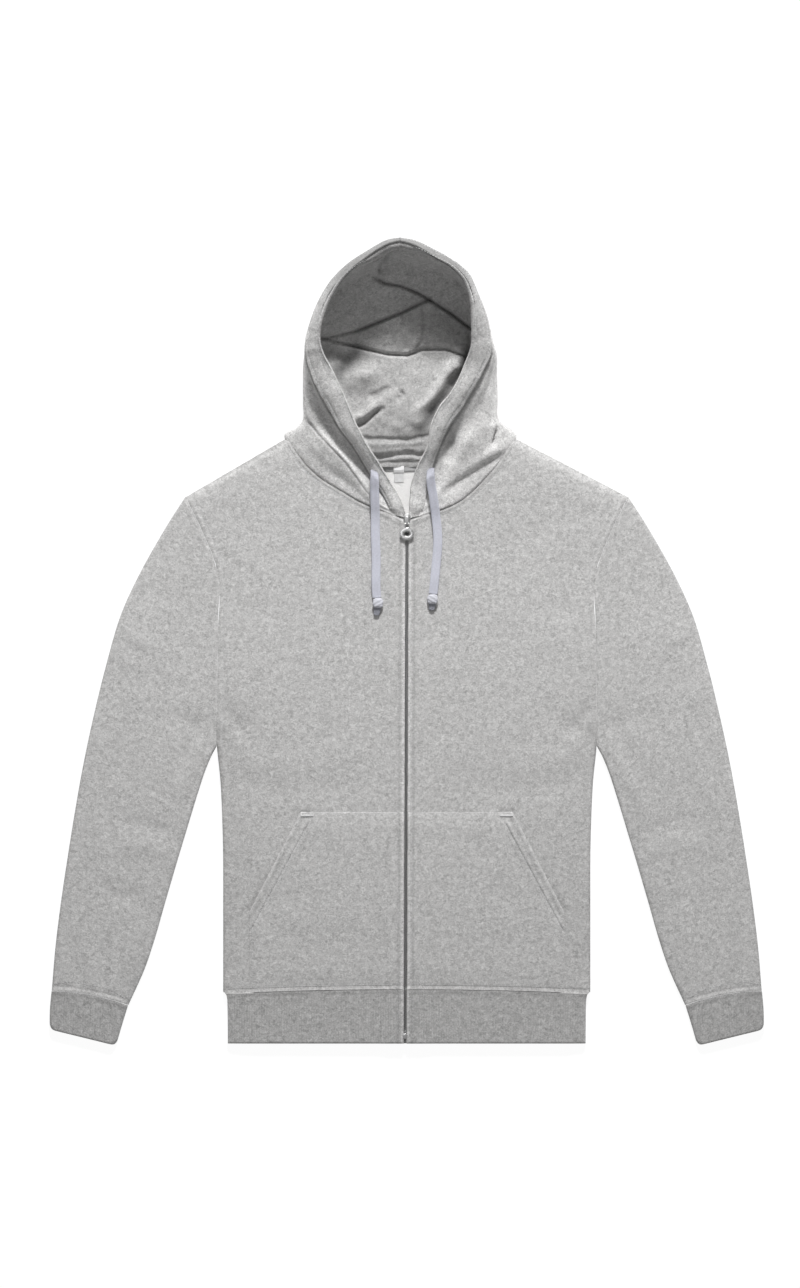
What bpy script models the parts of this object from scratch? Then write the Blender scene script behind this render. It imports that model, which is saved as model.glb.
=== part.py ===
"""A zip up hoodie laid flat on its back, with the hood open.

+X points right and +Y from the hem to the hood, as seen from above; left and right are named so too.
+Z points away from the surface that the garment lies on, and the origin is on that surface, in the
middle of the outline. Tables are in millimetres.
"""
import math

import bpy
import numpy as np

MM = 0.001

# Cloth, from the surface up
WALL = 2.8                  # brushed fleece
RIB = 3.0                   # doubled rib of the hem band and cuffs
HOOD_WALL = 2.5
CASING_THICK = 4.4          # hood cloth turned over the drawcord
POCKET_THICK = 2.4
SEAM_GAP = 0.4              # between pieces that are sewn edge to edge
NECK_GAP = 1.1              # in x and y, between a front and the hood
LAY_GAP = 0.3               # between pieces that lie on each other
EDGE_GAP = 0.5              # between front and back at the side seams
MID_GAP = 1.8               # between front and back inside the outline
ZIP_GAP = 3.0               # between front and back over the zip tapes
PUFF_REACH = 26.0           # from the outline to the full gap
ZIP_FLAT = 15.0
ZIP_SLOPE = 22.0

# Body
HALF_WIDTH = 214.7
HEM_SEAM_Y = -405.0
HEM_SEAM_DROP = 5.0         # the hem seam is this much lower at the sides
HEM_BOTTOM_Y = -469.0
HEM_HALF = (210.6, 210.0, 208.0)    # half width at the seam, the middle and the bottom
HEM_FROM_ZIP = (0.0, 12.0, 26.0, 60.0, 120.0)
HEM_FROM_SIDE = (26.0, 10.0)
HEM_BACK_COLUMNS = 8
# Side seam: x, y
SIDE = ((214.7, -409.0), (214.7, -320.0), (214.9, -240.0), (217.5, -168.0))
# Armhole seam, from armpit to shoulder tip: x, y
ARMHOLE = (
    (222.0, -121.0), (222.0, -67.0), (221.0, -11.0), (220.3, 33.0), (218.8, 58.0),
    (221.5, 82.5), (228.0, 104.0), (241.0, 134.0), (249.0, 150.5), (258.5, 170.0),
)
FRONT_SHARES = (0.0, 0.05, 0.12, 0.22, 0.38, 0.55, 0.72, 0.86, 0.94, 1.0)   # columns, zip to side
NECK_START = 0.70           # share of the armhole that faces the zip, the rest faces the neckline
ZIP_TOP_Y = 143.0
LAST_ZIP_ROW_Y = 131.0
ZIP_X_TOP = 0.3             # the zip runs a little aslant
ZIP_X_BOTTOM = -2.0
ZIP_HALF = 3.2              # from the middle of the zip to a front edge
HOOD_X = -8.0               # centre seam of the hood
BACK_NECK_Y = 206.5
BACK_NECK_RISE = 34.0
BACK_NECK_POWER = 2.2
BACK_NECK_SHARES = (0.0, 0.12, 0.5, 0.75)
SHOULDER_SHARES = (0.33, 0.66)
STRAIGHT_ROWS = 2           # the back's rows above the armpit that stay straight
SHOULDER_EASE = 1.5         # how late the rows above take on the shoulders' curve

# Sleeve stations from armhole to cuff: outer x, outer y, inner x, inner y
SLEEVE = (
    (259.0, 170.2, 222.3, -121.3), (280.0, 137.5, 229.0, -134.0), (310.0, 85.0, 236.0, -151.0),
    (334.5, 32.0, 243.0, -172.0), (351.5, -26.0, 251.0, -198.0), (366.0, -85.0, 258.5, -223.0),
    (378.0, -141.0, 267.0, -251.0), (388.0, -197.0, 275.5, -280.0), (396.5, -250.0, 284.5, -311.0),
    (404.5, -304.0, 294.5, -346.0), (411.0, -357.0, 307.0, -383.0), (415.2, -407.5, 325.5, -424.0),
)
CUFF = ((415.5, -408.0, 326.0, -424.6), (417.4, -430.0, 333.5, -449.0), (417.6, -452.5, 340.0, -471.6))
CUFF_BOW = 4.0              # the cuff seam bows toward the shoulder
CUFF_BOW_TURN = 0.2         # and this share of it outward
BOW_STATIONS = 4            # the armhole's curve fades out over these stations
# Columns across a sleeve, outer fold to inner
TUBE_SHARES = (0.0, 0.07, 0.14, 0.22, 0.31, 0.42, 0.58, 0.8, 1.0)
ARMHOLE_GAP = 0.8           # the sleeve's chords stay clear of the panels' curve
TUBE_EDGE = (10.0, 22.0)    # columns this far from a sleeve's folds
FOLD_SOFTNESS = 0.4         # the inner skin's corner is this far from the wall

# Pocket: half outline from the zip: x, y
POCKET_TOP_Y = -198.0
POCKET_TOP_X = 124.0
POCKET_CORNER = (184.0, -315.0)
POCKET_BOTTOM_Y = -403.0
POCKET_INSET = 0.6          # from the front's edge at the zip
POCKET_ROWS = (6, 5)        # on the slant and below it
POCKET_SHARES = (0.0, 0.08, 0.2, 0.4, 0.6, 0.8, 1.0)

# Hood rim stations, from the zip top to the crown:
# mouth x, y, z, then the outer edge of the casing x, y, z
RIM_LEFT = (
    (-5.8, 145.8, 8.8, -18.8, 150.2, 9), (-9.5, 167, 10.5, -23, 161, 10), (-18, 185, 13, -31, 177, 11),
    (-30, 205, 19, -47, 203, 15.5), (-43, 225, 27, -62, 228, 23), (-58, 251, 34, -78, 249, 30),
    (-66, 270, 38, -86, 263, 33), (-73, 287, 41, -94, 277, 36), (-82, 306, 44, -104, 295, 39.5),
    (-90, 322, 48, -112, 313, 42), (-98, 338, 53, -118, 333, 42), (-102, 354, 56, -118, 354, 41),
    (-101, 371, 60, -112, 379, 42), (-94, 394, 64, -103, 403, 45), (-83, 416, 68, -90, 426, 49),
    (-66, 435, 72, -72, 445, 53), (-43, 451, 76, -49, 461, 56), (-25, 459, 79, -29, 469.5, 59),
    (-8, 462, 80, -8, 472, 60),
)
RIM_RIGHT = (
    (6.4, 145.4, 8.8, 19.3, 149.6, 9), (4.5, 168, 10.5, 20.5, 160, 10), (6, 188, 13, 26, 181, 11),
    (14, 208, 19, 31, 207, 15.5), (24, 228, 27, 39, 230, 22), (29, 254, 34, 50, 252, 29),
    (38, 274, 38, 60, 267, 33), (50, 289, 41, 69, 281, 36), (60, 305, 44, 80, 299, 40),
    (68, 324, 48, 90, 318, 43), (74, 340, 53, 100, 340, 44), (76, 356, 56, 98, 361, 43),
    (76, 375, 60, 92, 385, 43), (75, 397, 64, 83, 407, 46), (67, 420, 68, 73, 429, 49),
    (53, 438, 72, 57, 446, 53), (34, 449, 76, 37, 459, 56), (13, 457, 79, 15, 468, 59),
    (-8, 462, 80, -8, 472, 60),
)
# Hood side below the casing, from the zip to where the casing becomes the outline:
# trough x, y, z, ridge x, y, z, lower edge x, y, z; the first six lower edges are on the neck seam
SIDE_LEFT = (
    (-22.4, 158, 9.2, -21.5, 154.5, 9.0, -20.5, 151, 8.6), (-36, 175, 9.4, -43, 170, 12, -50, 163, 8.6),
    (-51, 199, 10, -62, 197, 15, -75, 177.5, 8.6), (-66, 223, 12.5, -79, 217, 18.5, -101, 194, 8.6),
    (-83, 243, 16, -98, 235, 20, -122, 214, 8.2), (-92, 258, 18, -111, 249, 18.5, -138, 240, 6.2),
    (-100, 271, 21, -114, 263, 18, -122, 259, 9), (-108, 290, 27, -117, 284, 20, -121, 280, 9),
    (-114, 309, 32, -119, 305, 23, -121, 302, 9), (-119, 331, 34, -120, 330, 24, -120, 328, 9),
)
SIDE_RIGHT = (
    (21.6, 157, 9.2, 21.4, 154, 9.0, 21.2, 150.4, 8.6), (28, 178, 9.8, 35, 171, 11.5, 44, 157.5, 8.6),
    (37, 202, 10.5, 48, 190, 14, 65, 168.5, 8.6), (46, 224, 14, 60, 214, 19, 89, 191, 8.6),
    (58, 246, 20, 74, 235, 23, 109, 214, 8.4), (70, 261, 25, 89, 251, 23, 123, 240, 6.2),
    (78, 276, 29, 93, 268, 23, 107, 261, 9), (88, 295, 33, 98, 290, 25, 106, 286, 9),
    (96, 316, 36, 102, 313, 26, 105.5, 311, 9), (102, 339, 36, 104, 338, 26, 104.5, 337, 9),
)
NECK_STATIONS = 6           # stations whose lower edge is on the neck seam
SIDE_STATIONS = 10
# The spine of the hood's underside at each station from the end of the neck seam to the crown: y
SPINE_Y = (206.5, 222.0, 237.0, 252.0, 268.0, 286.0, 303.0, 320.0, 337.0, 352.0, 365.0, 376.0, 384.0)
CASING_GAP = 0.6            # from the casing's edge to the hood side
CASING_SHARES = np.array([0.0, 0.3, 0.75, 1.0])         # columns from the outer edge to the mouth
CASING_CROWN = np.array([0.0, 0.8, 0.8, 0.0])           # rise over the middle surface
CASING_DEPTH = np.array([0.57, 1.0, 1.0, 0.75]) * CASING_THICK
HOOD_MIDDLE = (330.0, 12.0)
WALL_LEAN = ((1.0, 0.70), (4.0, 0.42), (9.0, 0.15))     # upper hood side: inset, share of the height
LEAN_STATIONS = 4           # the lean sets in over these stations
UNDER_TURN = 7.0
UNDER_SHARES = (0.12, 0.5)  # columns between outline and spine on the underside

# Hood lining: first rim station and the spine y of each station from there to the crown
LINING_FIRST = 3
LINING_SPINE_Y = (
    207.0, 222.0, 237.0, 252.0, 268.0, 284.0, 300.0, 316.0,
    331.0, 344.0, 356.0, 367.0, 377.0, 386.0, 393.0, 398.0,
)
# Height of the lining along the spine: y, z
LINING_FLOOR = (
    (206.0, 6.5), (219.0, 13.0), (237.0, 17.0), (254.0, 20.0), (284.0, 18.0), (307.0, 13.0),
    (335.0, 8.5), (350.0, 11.0), (377.0, 20.0), (400.0, 27.0), (424.0, 35.0), (440.0, 41.0),
    (456.0, 50.0),
)
LINING_SIDE_RISE = 12.0
LINING_HALF = 92.0
LINING_TOP_SHARE = 0.5      # the lining starts under the casing, this far from the mouth
LINING_SHARES = (0.0, 0.14, 0.28, 0.42, 0.56, 0.70, 0.85, 1.0)
LINING_UNDERCUT = (0.30, 0.40)      # share of the casing's width that the wall goes back, and more where wide
LINING_UNDERCUT_WIDE = (14.0, 9.0)  # casing width at which the more sets in, and over how much
LINING_FOOT = 3.0           # the foot of the wall shows this far inside the mouth
FOLD_SOFT = 4.0             # a fold's lip rises over this width
FOLD_END = 8.0              # and fades out this far past its ends
# Overlapped folds of the lining: x0, y0, x1, y1, lip height, reach behind the lip, drop side
LINING_FOLDS = (
    (-104.0, 354.0, 25.0, 400.0, 6.0, 22.0, -1),
    (-40.0, 427.0, 26.0, 401.0, 5.0, 20.0, -1),
    (26.0, 401.0, 78.0, 367.0, 8.0, 24.0, -1),
)
# Soft ridges of the lining: x0, y0, x1, y1, height, half width
LINING_RIDGES = (
    (-60.0, 244.0, 26.0, 245.0, 3.0, 4.5),
    (-52.0, 227.0, 24.0, 228.0, 3.0, 4.5),
    (-44.0, 216.0, 20.0, 216.0, 2.5, 3.5),
    (-61.0, 253.0, -28.0, 273.0, 5.0, 8.0),
    (64.0, 318.0, 16.0, 262.0, 5.0, 10.0),
    (-62.0, 290.0, -18.0, 300.0, 2.5, 10.0),
)

# Neck tape and labels, on the back: x0, x1, y0, y1
TAPE_HALF = 60.0
TAPE_WIDE = 6.4
TAPE_THICK = 0.8
LABEL = (-15.5, -3.2, 198.4, 206.0)
SIZE_LABEL = (-14.9, -3.6, 187.0, 198.0)
LABEL_THICK = 0.7

# Zip
TAPE_Z = (4.7, 5.5)
ZIP_TAPE_WIDE = 13.0
CHAIN_Z = (5.8, 9.0)
CHAIN_HALF = 2.35
CHAIN_TOP_Y = 141.0
CHAIN_BOTTOM_Y = -463.4
BOX_SIZE = (6.0, 7.0)
BOX_Z = (5.8, 9.3)
SLIDER_Y = (136.3, 150.3)
SLIDER_HALF = 4.2
SLIDER_OUTLINE = ((2.6, 0.0), (3.4, 4.0), (SLIDER_HALF, 10.6), (3.0, 14.0))     # x, y from its lower end
SLIDER_TOP_Z = (9.3, 10.6)
SLIDER_BOTTOM_Z = (3.1, 4.4)
POST_Y = (145.6, 149.2)
POST_HALF = 1.2
BRIDGE_Y = (136.6, 148.6)
BRIDGE_HALF = 1.3
BRIDGE_LEG = 1.4
BRIDGE_Z = (12.8, 14.1)
BRIDGE_ROUND = 1.1
WELD = 0.2                  # pieces that are cast as one run into each other
PIVOT = (0.3, 139.1, 11.7)
TAB_THICK = 1.5
TAB_ARM = (1.65, 3.2)       # inner and outer x of the two arms
TAB_CENTRE_Y = 126.9
TAB_RADIUS = (8.8, 8.2)
TAB_HOLE = (3.85, 2.4)
TAB_ROUNDS = 20
TAB_ARM_Y = 132.6           # the arms start inside the ring
TAB_BAR = 0.735             # radius of the bar between the arms

# Drawcords: flat cord, x, y, z from the exit in the casing to the knot
CORD_WIDE = 10.5
CORD_THICK = 3.4
CORD_POINTS = 19
CORD_LEFT = (
    (-38.0, 203.0, 20.8), (-37.7, 196.0, 20.6), (-37.5, 188.0, 19.2), (-37.4, 180.0, 17.2),
    (-37.3, 171.0, 15.4), (-37.2, 161.0, 13.4), (-37.0, 151.0, 11.4), (-36.8, 140.0, 10.4),
    (-36.5, 127.0, 10.0), (-36.2, 112.0, 9.9), (-36.0, 96.0, 9.9), (-35.9, 80.0, 9.9),
    (-35.7, 65.0, 9.9), (-35.0, 52.5, 9.9),
)
CORD_RIGHT = (
    (28.0, 204.0, 20.8), (28.0, 197.0, 20.4), (28.1, 190.0, 19.0), (29.0, 181.0, 17.0),
    (30.6, 171.0, 15.2), (32.3, 160.0, 13.2), (33.8, 150.0, 11.4), (35.1, 139.0, 10.4),
    (36.0, 126.0, 10.0), (35.9, 112.0, 9.9), (34.9, 96.0, 9.9), (33.4, 80.0, 9.9),
    (31.8, 67.0, 9.9), (30.6, 57.0, 9.9),
)
KNOT_SIZE = (12.6, 11.4, 6.4)
KNOT_GRID = (12, 7)
KNOT_ROUND = 0.7
KNOT_LEFT = (-33.6, 46.2, 11.2)
KNOT_RIGHT = (30.2, 50.7, 11.2)
TAIL_LEFT = ((-33.9, 43.5, 10.6), (-36.2, 30.0, 9.9))
TAIL_RIGHT = ((30.0, 48.0, 10.6), (28.8, 36.6, 9.9))
TAIL_SIZE = (9.0, 3.0)
CORD_ROUND = (0.6, 0.7)     # the cord's section lies between an oval and a box

# Materials: colour, roughness, metallic
FLEECE = ("heather_fleece", (0.50, 0.49, 0.48), 0.95, 0.0)
RIB_KNIT = ("rib_knit", (0.42, 0.41, 0.40), 0.95, 0.0)
LINING_CLOTH = ("hood_lining_cloth", (0.46, 0.45, 0.45), 0.95, 0.0)
TAPE_CLOTH = ("zip_tape_cloth", (0.30, 0.30, 0.31), 0.9, 0.0)
LABEL_CLOTH = ("label_cloth", (0.86, 0.86, 0.86), 0.7, 0.0)
NECK_TAPE_CLOTH = ("neck_tape_cloth", (0.40, 0.40, 0.40), 0.9, 0.0)
CORD_CLOTH = ("cord_braid", (0.53, 0.54, 0.62), 0.85, 0.0)
METAL = ("zip_metal", (0.62, 0.62, 0.63), 0.3, 1.0)
CHAIN_METAL = ("zip_chain_metal", (0.16, 0.16, 0.17), 0.45, 0.8)


def material(spec):
    name, colour, roughness, metallic = spec
    found = bpy.data.materials.get(name)
    if found:
        return found
    made = bpy.data.materials.new(name)
    made.use_nodes = True
    shader = made.node_tree.nodes["Principled BSDF"]
    shader.inputs["Base Color"].default_value = (*colour, 1.0)
    shader.inputs["Roughness"].default_value = roughness
    shader.inputs["Metallic"].default_value = metallic
    return made


def add_object(name, points, faces, spec, smooth=True, location=(0.0, 0.0, 0.0)):
    """One node: points in millimetres about location, faces as index tuples."""
    mesh = bpy.data.meshes.new(name)
    scaled = [(p[0] * MM, p[1] * MM, p[2] * MM) for p in points]
    mesh.from_pydata(scaled, [], faces)
    mesh.materials.append(material(spec))
    if smooth:
        mesh.shade_smooth()
        mesh.set_sharp_from_angle(angle=math.radians(50.0))
    made = bpy.data.objects.new(name, mesh)
    made.location = [v * MM for v in location]
    bpy.context.collection.objects.link(made)
    return made


def smoothstep(value):
    value = np.clip(value, 0.0, 1.0)
    return value * value * (3.0 - 2.0 * value)


def spline(rows, count):
    """A Catmull-Rom curve through the rows, read at count even places."""
    rows = np.array(rows, float)
    padded = np.vstack([2 * rows[0] - rows[1], rows, 2 * rows[-1] - rows[-2]])
    places = np.linspace(0.0, len(rows) - 1, count)
    index = np.minimum(places.astype(int), len(rows) - 2)
    t = (places - index)[:, None]
    a, b, c, d = (padded[index + k] for k in range(4))
    return 0.5 * (2 * b + (c - a) * t + (2 * a - 5 * b + 4 * c - d) * t ** 2
                  + (3 * b - a - 3 * c + d) * t ** 3)


def along(points, shares):
    """Points at the given shares of a polyline's length."""
    points = np.array(points, float)
    steps = np.linalg.norm(np.diff(points, axis=0), axis=1)
    run = np.concatenate([[0.0], np.cumsum(steps)]) / steps.sum()
    return np.column_stack([np.interp(shares, run, points[:, k]) for k in range(points.shape[1])])


def line_distance(x, y, line):
    """Distance in plan from points to a polyline."""
    best = np.full(np.shape(x), 1e9)
    for start, end in zip(line[:-1], line[1:]):
        dx, dy = end[0] - start[0], end[1] - start[1]
        share = np.clip(((x - start[0]) * dx + (y - start[1]) * dy) / (dx * dx + dy * dy), 0.0, 1.0)
        best = np.minimum(best, np.hypot(x - start[0] - share * dx, y - start[1] - share * dy))
    return best


def grid_faces(rows, columns, wrap=False, keep=None):
    faces = []
    for i in range(rows - 1):
        for j in range(columns if wrap else columns - 1):
            if keep is None or keep(i, j):
                k = (j + 1) % columns
                faces.append((i * columns + j, i * columns + k, (i + 1) * columns + k, (i + 1) * columns + j))
    return faces


def closed_faces(faces, count):
    """Faces of the outer skin, of the inner skin turned over, and of the edges between them."""
    edges = {(a, b) for face in faces for a, b in zip(face, face[1:] + face[:1])}
    inner = [tuple(v + count for v in reversed(face)) for face in faces]
    rim = [(b, a, a + count, b + count) for a, b in sorted(edges) if (b, a) not in edges]
    return faces + inner + rim


def face_volume(points, faces):
    total = 0.0
    for face in faces:
        a = points[face[0]]
        for b, c in zip(face[1:-1], face[2:]):
            total += np.dot(a, np.cross(points[b], points[c]))
    return total


def cloth(name, outer, inner, faces, spec):
    """A wall of cloth between two skins that share one set of faces."""
    used = sorted({v for face in faces for v in face})
    place = {v: k for k, v in enumerate(used)}
    faces = [tuple(place[v] for v in face) for face in faces]
    points = np.vstack([np.array(outer)[used], np.array(inner)[used]])
    solid = closed_faces(faces, len(used))
    if face_volume(points, solid) < 0.0:
        solid = [tuple(reversed(face)) for face in solid]
    return add_object(name, points, solid, spec)


def skin_normals(points, faces):
    normals = np.zeros_like(points)
    for face in faces:
        a, b, c, d = (points[v] for v in face)
        across = np.cross(c - a, d - b)
        for v in face:
            normals[v] += across
    return normals / np.maximum(np.linalg.norm(normals, axis=1), 1e-9)[:, None]


def box_points(x0, x1, y0, y1, z0, z1):
    return [(x, y, z) for z in (z0, z1) for x, y in ((x0, y0), (x1, y0), (x1, y1), (x0, y1))]


BOX_FACES = [(3, 2, 1, 0), (4, 5, 6, 7), (0, 1, 5, 4), (1, 2, 6, 5), (2, 3, 7, 6), (3, 0, 4, 7)]


def zip_x(y):
    share = (y - HEM_BOTTOM_Y) / (ZIP_TOP_Y - HEM_BOTTOM_Y)
    return ZIP_X_BOTTOM + (ZIP_X_TOP - ZIP_X_BOTTOM) * share


def hem_seam_y(x):
    return HEM_SEAM_Y - HEM_SEAM_DROP * (x / HALF_WIDTH) ** 2


def back_neck_y(x, end_x):
    return BACK_NECK_Y + BACK_NECK_RISE * np.abs((x - HOOD_X) / (end_x - HOOD_X)) ** BACK_NECK_POWER


def side_table(side):
    return SIDE_LEFT if side < 0 else SIDE_RIGHT


def neckline(side):
    """The neck seam of one front, from the zip to the shoulder, two steps a station."""
    return spline([row[6:8] for row in side_table(side)[:NECK_STATIONS]], 2 * NECK_STATIONS - 1)


def shoulder_point(side):
    return side_table(side)[NECK_STATIONS - 1][6:8]


def layer_gap(x, y):
    """How far the front lies above the back."""
    gap = np.full(np.shape(x), MID_GAP)
    shoulders = [[shoulder_point(s), (s * ARMHOLE[-1][0], ARMHOLE[-1][1])] for s in (-1, 1)]
    seams = [[(s * px, py) for px, py in SIDE + ARMHOLE[:1]] for s in (-1, 1)]
    for line in shoulders + seams:
        puff = smoothstep(line_distance(x, y, line) / PUFF_REACH)
        gap = np.minimum(gap, EDGE_GAP + (MID_GAP - EDGE_GAP) * puff)
    near_zip = 1.0 - smoothstep((np.abs(x - zip_x(y)) - ZIP_FLAT) / ZIP_SLOPE)
    return gap + (ZIP_GAP - MID_GAP) * near_zip


def outer_boundary():
    """Side seam and armhole of the right half, one point for each row of a panel."""
    neck_rows = 2 * NECK_STATIONS - 1
    curve = spline(ARMHOLE, 4 * len(ARMHOLE))
    low = along(curve, np.linspace(0.0, NECK_START, 7)[:-1])
    high = along(curve, np.linspace(NECK_START, 1.0, neck_rows))
    return np.vstack([np.array(SIDE), low, high])


def front_plan(side):
    """Plan of one front: rows from hem to shoulder, columns from the zip to the side."""
    outer = outer_boundary() * (side, 1.0)
    neck = neckline(side)
    lower = len(outer) - len(neck)
    zip_y = np.interp(np.arange(lower), (0, len(SIDE), lower - 1), (HEM_SEAM_Y, ARMHOLE[0][1], LAST_ZIP_ROW_Y))
    inner = np.column_stack([zip_x(zip_y) + side * ZIP_HALF, zip_y])
    corner = np.array([zip_x(ZIP_TOP_Y) + side * ZIP_HALF, ZIP_TOP_Y])
    neck = neck + (side * NECK_GAP, -NECK_GAP)
    inner = np.vstack([inner, corner, neck[1:]])
    shares = np.array(FRONT_SHARES)[None, :, None]
    plan = inner[:, None] * (1 - shares) + outer[:, None] * shares
    plan[0, :, 1] = hem_seam_y(plan[0, :, 0])
    return plan


def lying(plan, bottom, thick):
    """The upper and the lower skin of cloth that lies at a height given for each point."""
    flat = plan.reshape(-1, 2)
    low = np.column_stack([flat, np.broadcast_to(bottom, (len(flat),))])
    return low + (0.0, 0.0, thick), low


def make_fronts():
    for side, name in ((-1, "front_left"), (1, "front_right")):
        plan = front_plan(side)
        flat = plan.reshape(-1, 2)
        top, low = lying(plan, WALL + layer_gap(flat[:, 0], flat[:, 1]), WALL)
        cloth(name, top, low, grid_faces(*plan.shape[:2]), FLEECE)


def back_columns(side):
    """x of the back's columns along one half of the back neck, from the shoulder inward."""
    neck_x = shoulder_point(side)[0]
    return [neck_x + share * (HOOD_X - neck_x) for share in BACK_NECK_SHARES]


def make_back():
    """One panel; its upper edge runs over shoulder, neckline and shoulder."""
    outer = outer_boundary()
    tip = outer[-1]
    left_neck, right_neck = back_columns(-1), back_columns(1)
    top = [(-tip[0], tip[1])]
    start = np.array(shoulder_point(-1))
    top += [tuple(start + (np.array(top[0]) - start) * k) for k in reversed(SHOULDER_SHARES)]
    top += [(x, back_neck_y(x, left_neck[0])) for x in left_neck]
    top += [(HOOD_X, BACK_NECK_Y)]
    top += [(x, back_neck_y(x, right_neck[0])) for x in reversed(right_neck)]
    end = np.array(shoulder_point(1))
    top += [tuple(end + (tip - end) * k) for k in SHOULDER_SHARES + (1.0,)]
    top = np.array(top)
    top[3:-3, 1] -= SEAM_GAP
    shares = (top[:, 0] + tip[0]) / (2 * tip[0])
    left = outer * (-1.0, 1.0)
    plan = left[:, None] * (1 - shares[None, :, None]) + outer[:, None] * shares[None, :, None]
    chord = plan[-1].copy()
    first_curved = len(SIDE) + STRAIGHT_ROWS
    for i in range(first_curved, len(outer)):
        weight = ((i - first_curved + 1) / (len(outer) - first_curved)) ** SHOULDER_EASE
        plan[i] += weight * (top - chord)
    plan[0, :, 1] = hem_seam_y(plan[0, :, 0])
    upper, lower = lying(plan, 0.0, WALL)
    cloth("back", upper, lower, grid_faces(*plan.shape[:2]), FLEECE)


def tube_ring(outer_point, inner_point, wall, bow=None):
    """Cross-section of a flattened tube: outer and inner loops round from one fold to the other."""
    start, end = np.array(outer_point, float), np.array(inner_point, float)
    wide = np.linalg.norm(end - start)
    round_radius = wall + EDGE_GAP / 2
    near, far = TUBE_EDGE
    inside = [far + (wide - 2 * far) * share for share in TUBE_SHARES]
    top_places = [round_radius, near, *inside, wide - near, wide - round_radius]
    low_places = [wide - round_radius, *reversed(inside[1:-1]), round_radius]
    loops = ([], [])

    def gap(place):
        return EDGE_GAP + (MID_GAP - EDGE_GAP) * smoothstep(min(place, wide - place) / PUFF_REACH)

    def put(loop, place, height):
        point = start + (end - start) * (place / wide)
        if bow is not None:
            point = point + bow(place / wide)
        loops[loop].append((point[0], point[1], height))

    for place in top_places:
        put(0, place, 2 * wall + gap(place))
        put(1, np.clip(place, wall + FOLD_SOFTNESS, wide - wall - FOLD_SOFTNESS), wall + gap(place))
    for angle in (45.0, 0.0, -45.0):
        turn = math.radians(angle)
        put(0, wide - round_radius + round_radius * math.cos(turn), round_radius * (1 + math.sin(turn)))
        put(1, wide - wall, wall + EDGE_GAP * (0.5 + 0.3 * math.sin(turn)))
    for place in low_places:
        put(0, place, 0.0)
        put(1, np.clip(place, wall + FOLD_SOFTNESS, wide - wall - FOLD_SOFTNESS), wall)
    for angle in (-45.0, 0.0, 45.0):
        turn = math.radians(angle)
        put(0, round_radius - round_radius * math.cos(turn), round_radius * (1 + math.sin(turn)))
        put(1, wall, wall + EDGE_GAP * (0.5 + 0.3 * math.sin(turn)))
    return loops


def armhole_bow(side, weight):
    """How far the armhole seam lies from the straight line between its ends."""
    curve = spline(ARMHOLE, 4 * len(ARMHOLE))[::-1]

    def bow(share):
        on_curve = along(curve, [share])[0]
        chord = curve[0] + (curve[-1] - curve[0]) * share
        return (on_curve - chord) * weight * (side, 1.0)
    return bow


def cuff_bow(direction):
    return lambda share: np.array(direction) * CUFF_BOW * 4 * share * (1 - share)


def tube(name, rings, spec):
    outer = [p for ring in rings for p in ring[0]]
    inner = [p for ring in rings for p in ring[1]]
    cloth(name, outer, inner, grid_faces(len(rings), len(rings[0][0]), wrap=True), spec)


def make_sleeves():
    for side, word in ((-1, "left"), (1, "right")):
        rings = []
        for k, (ox, oy, ix, iy) in enumerate(SLEEVE):
            bow = armhole_bow(side, max(0.0, 1.0 - k / BOW_STATIONS))
            if k == len(SLEEVE) - 1:
                bow = cuff_bow((side * CUFF_BOW_TURN, 1.0))
            clear = ARMHOLE_GAP if k == 0 else 0.0
            start = (side * (ox + clear), oy)
            end = (side * (ix + clear), iy)
            rings.append(tube_ring(start, end, WALL, bow))
        tube("sleeve_" + word, rings, FLEECE)
        rings = []
        for k, (ox, oy, ix, iy) in enumerate(CUFF):
            bow = cuff_bow((side * CUFF_BOW_TURN, 1.0)) if k == 0 else None
            rings.append(tube_ring((side * ox, oy - SEAM_GAP), (side * ix, iy - SEAM_GAP), WALL, bow))
        tube("cuff_" + word, rings, RIB_KNIT)


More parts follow.
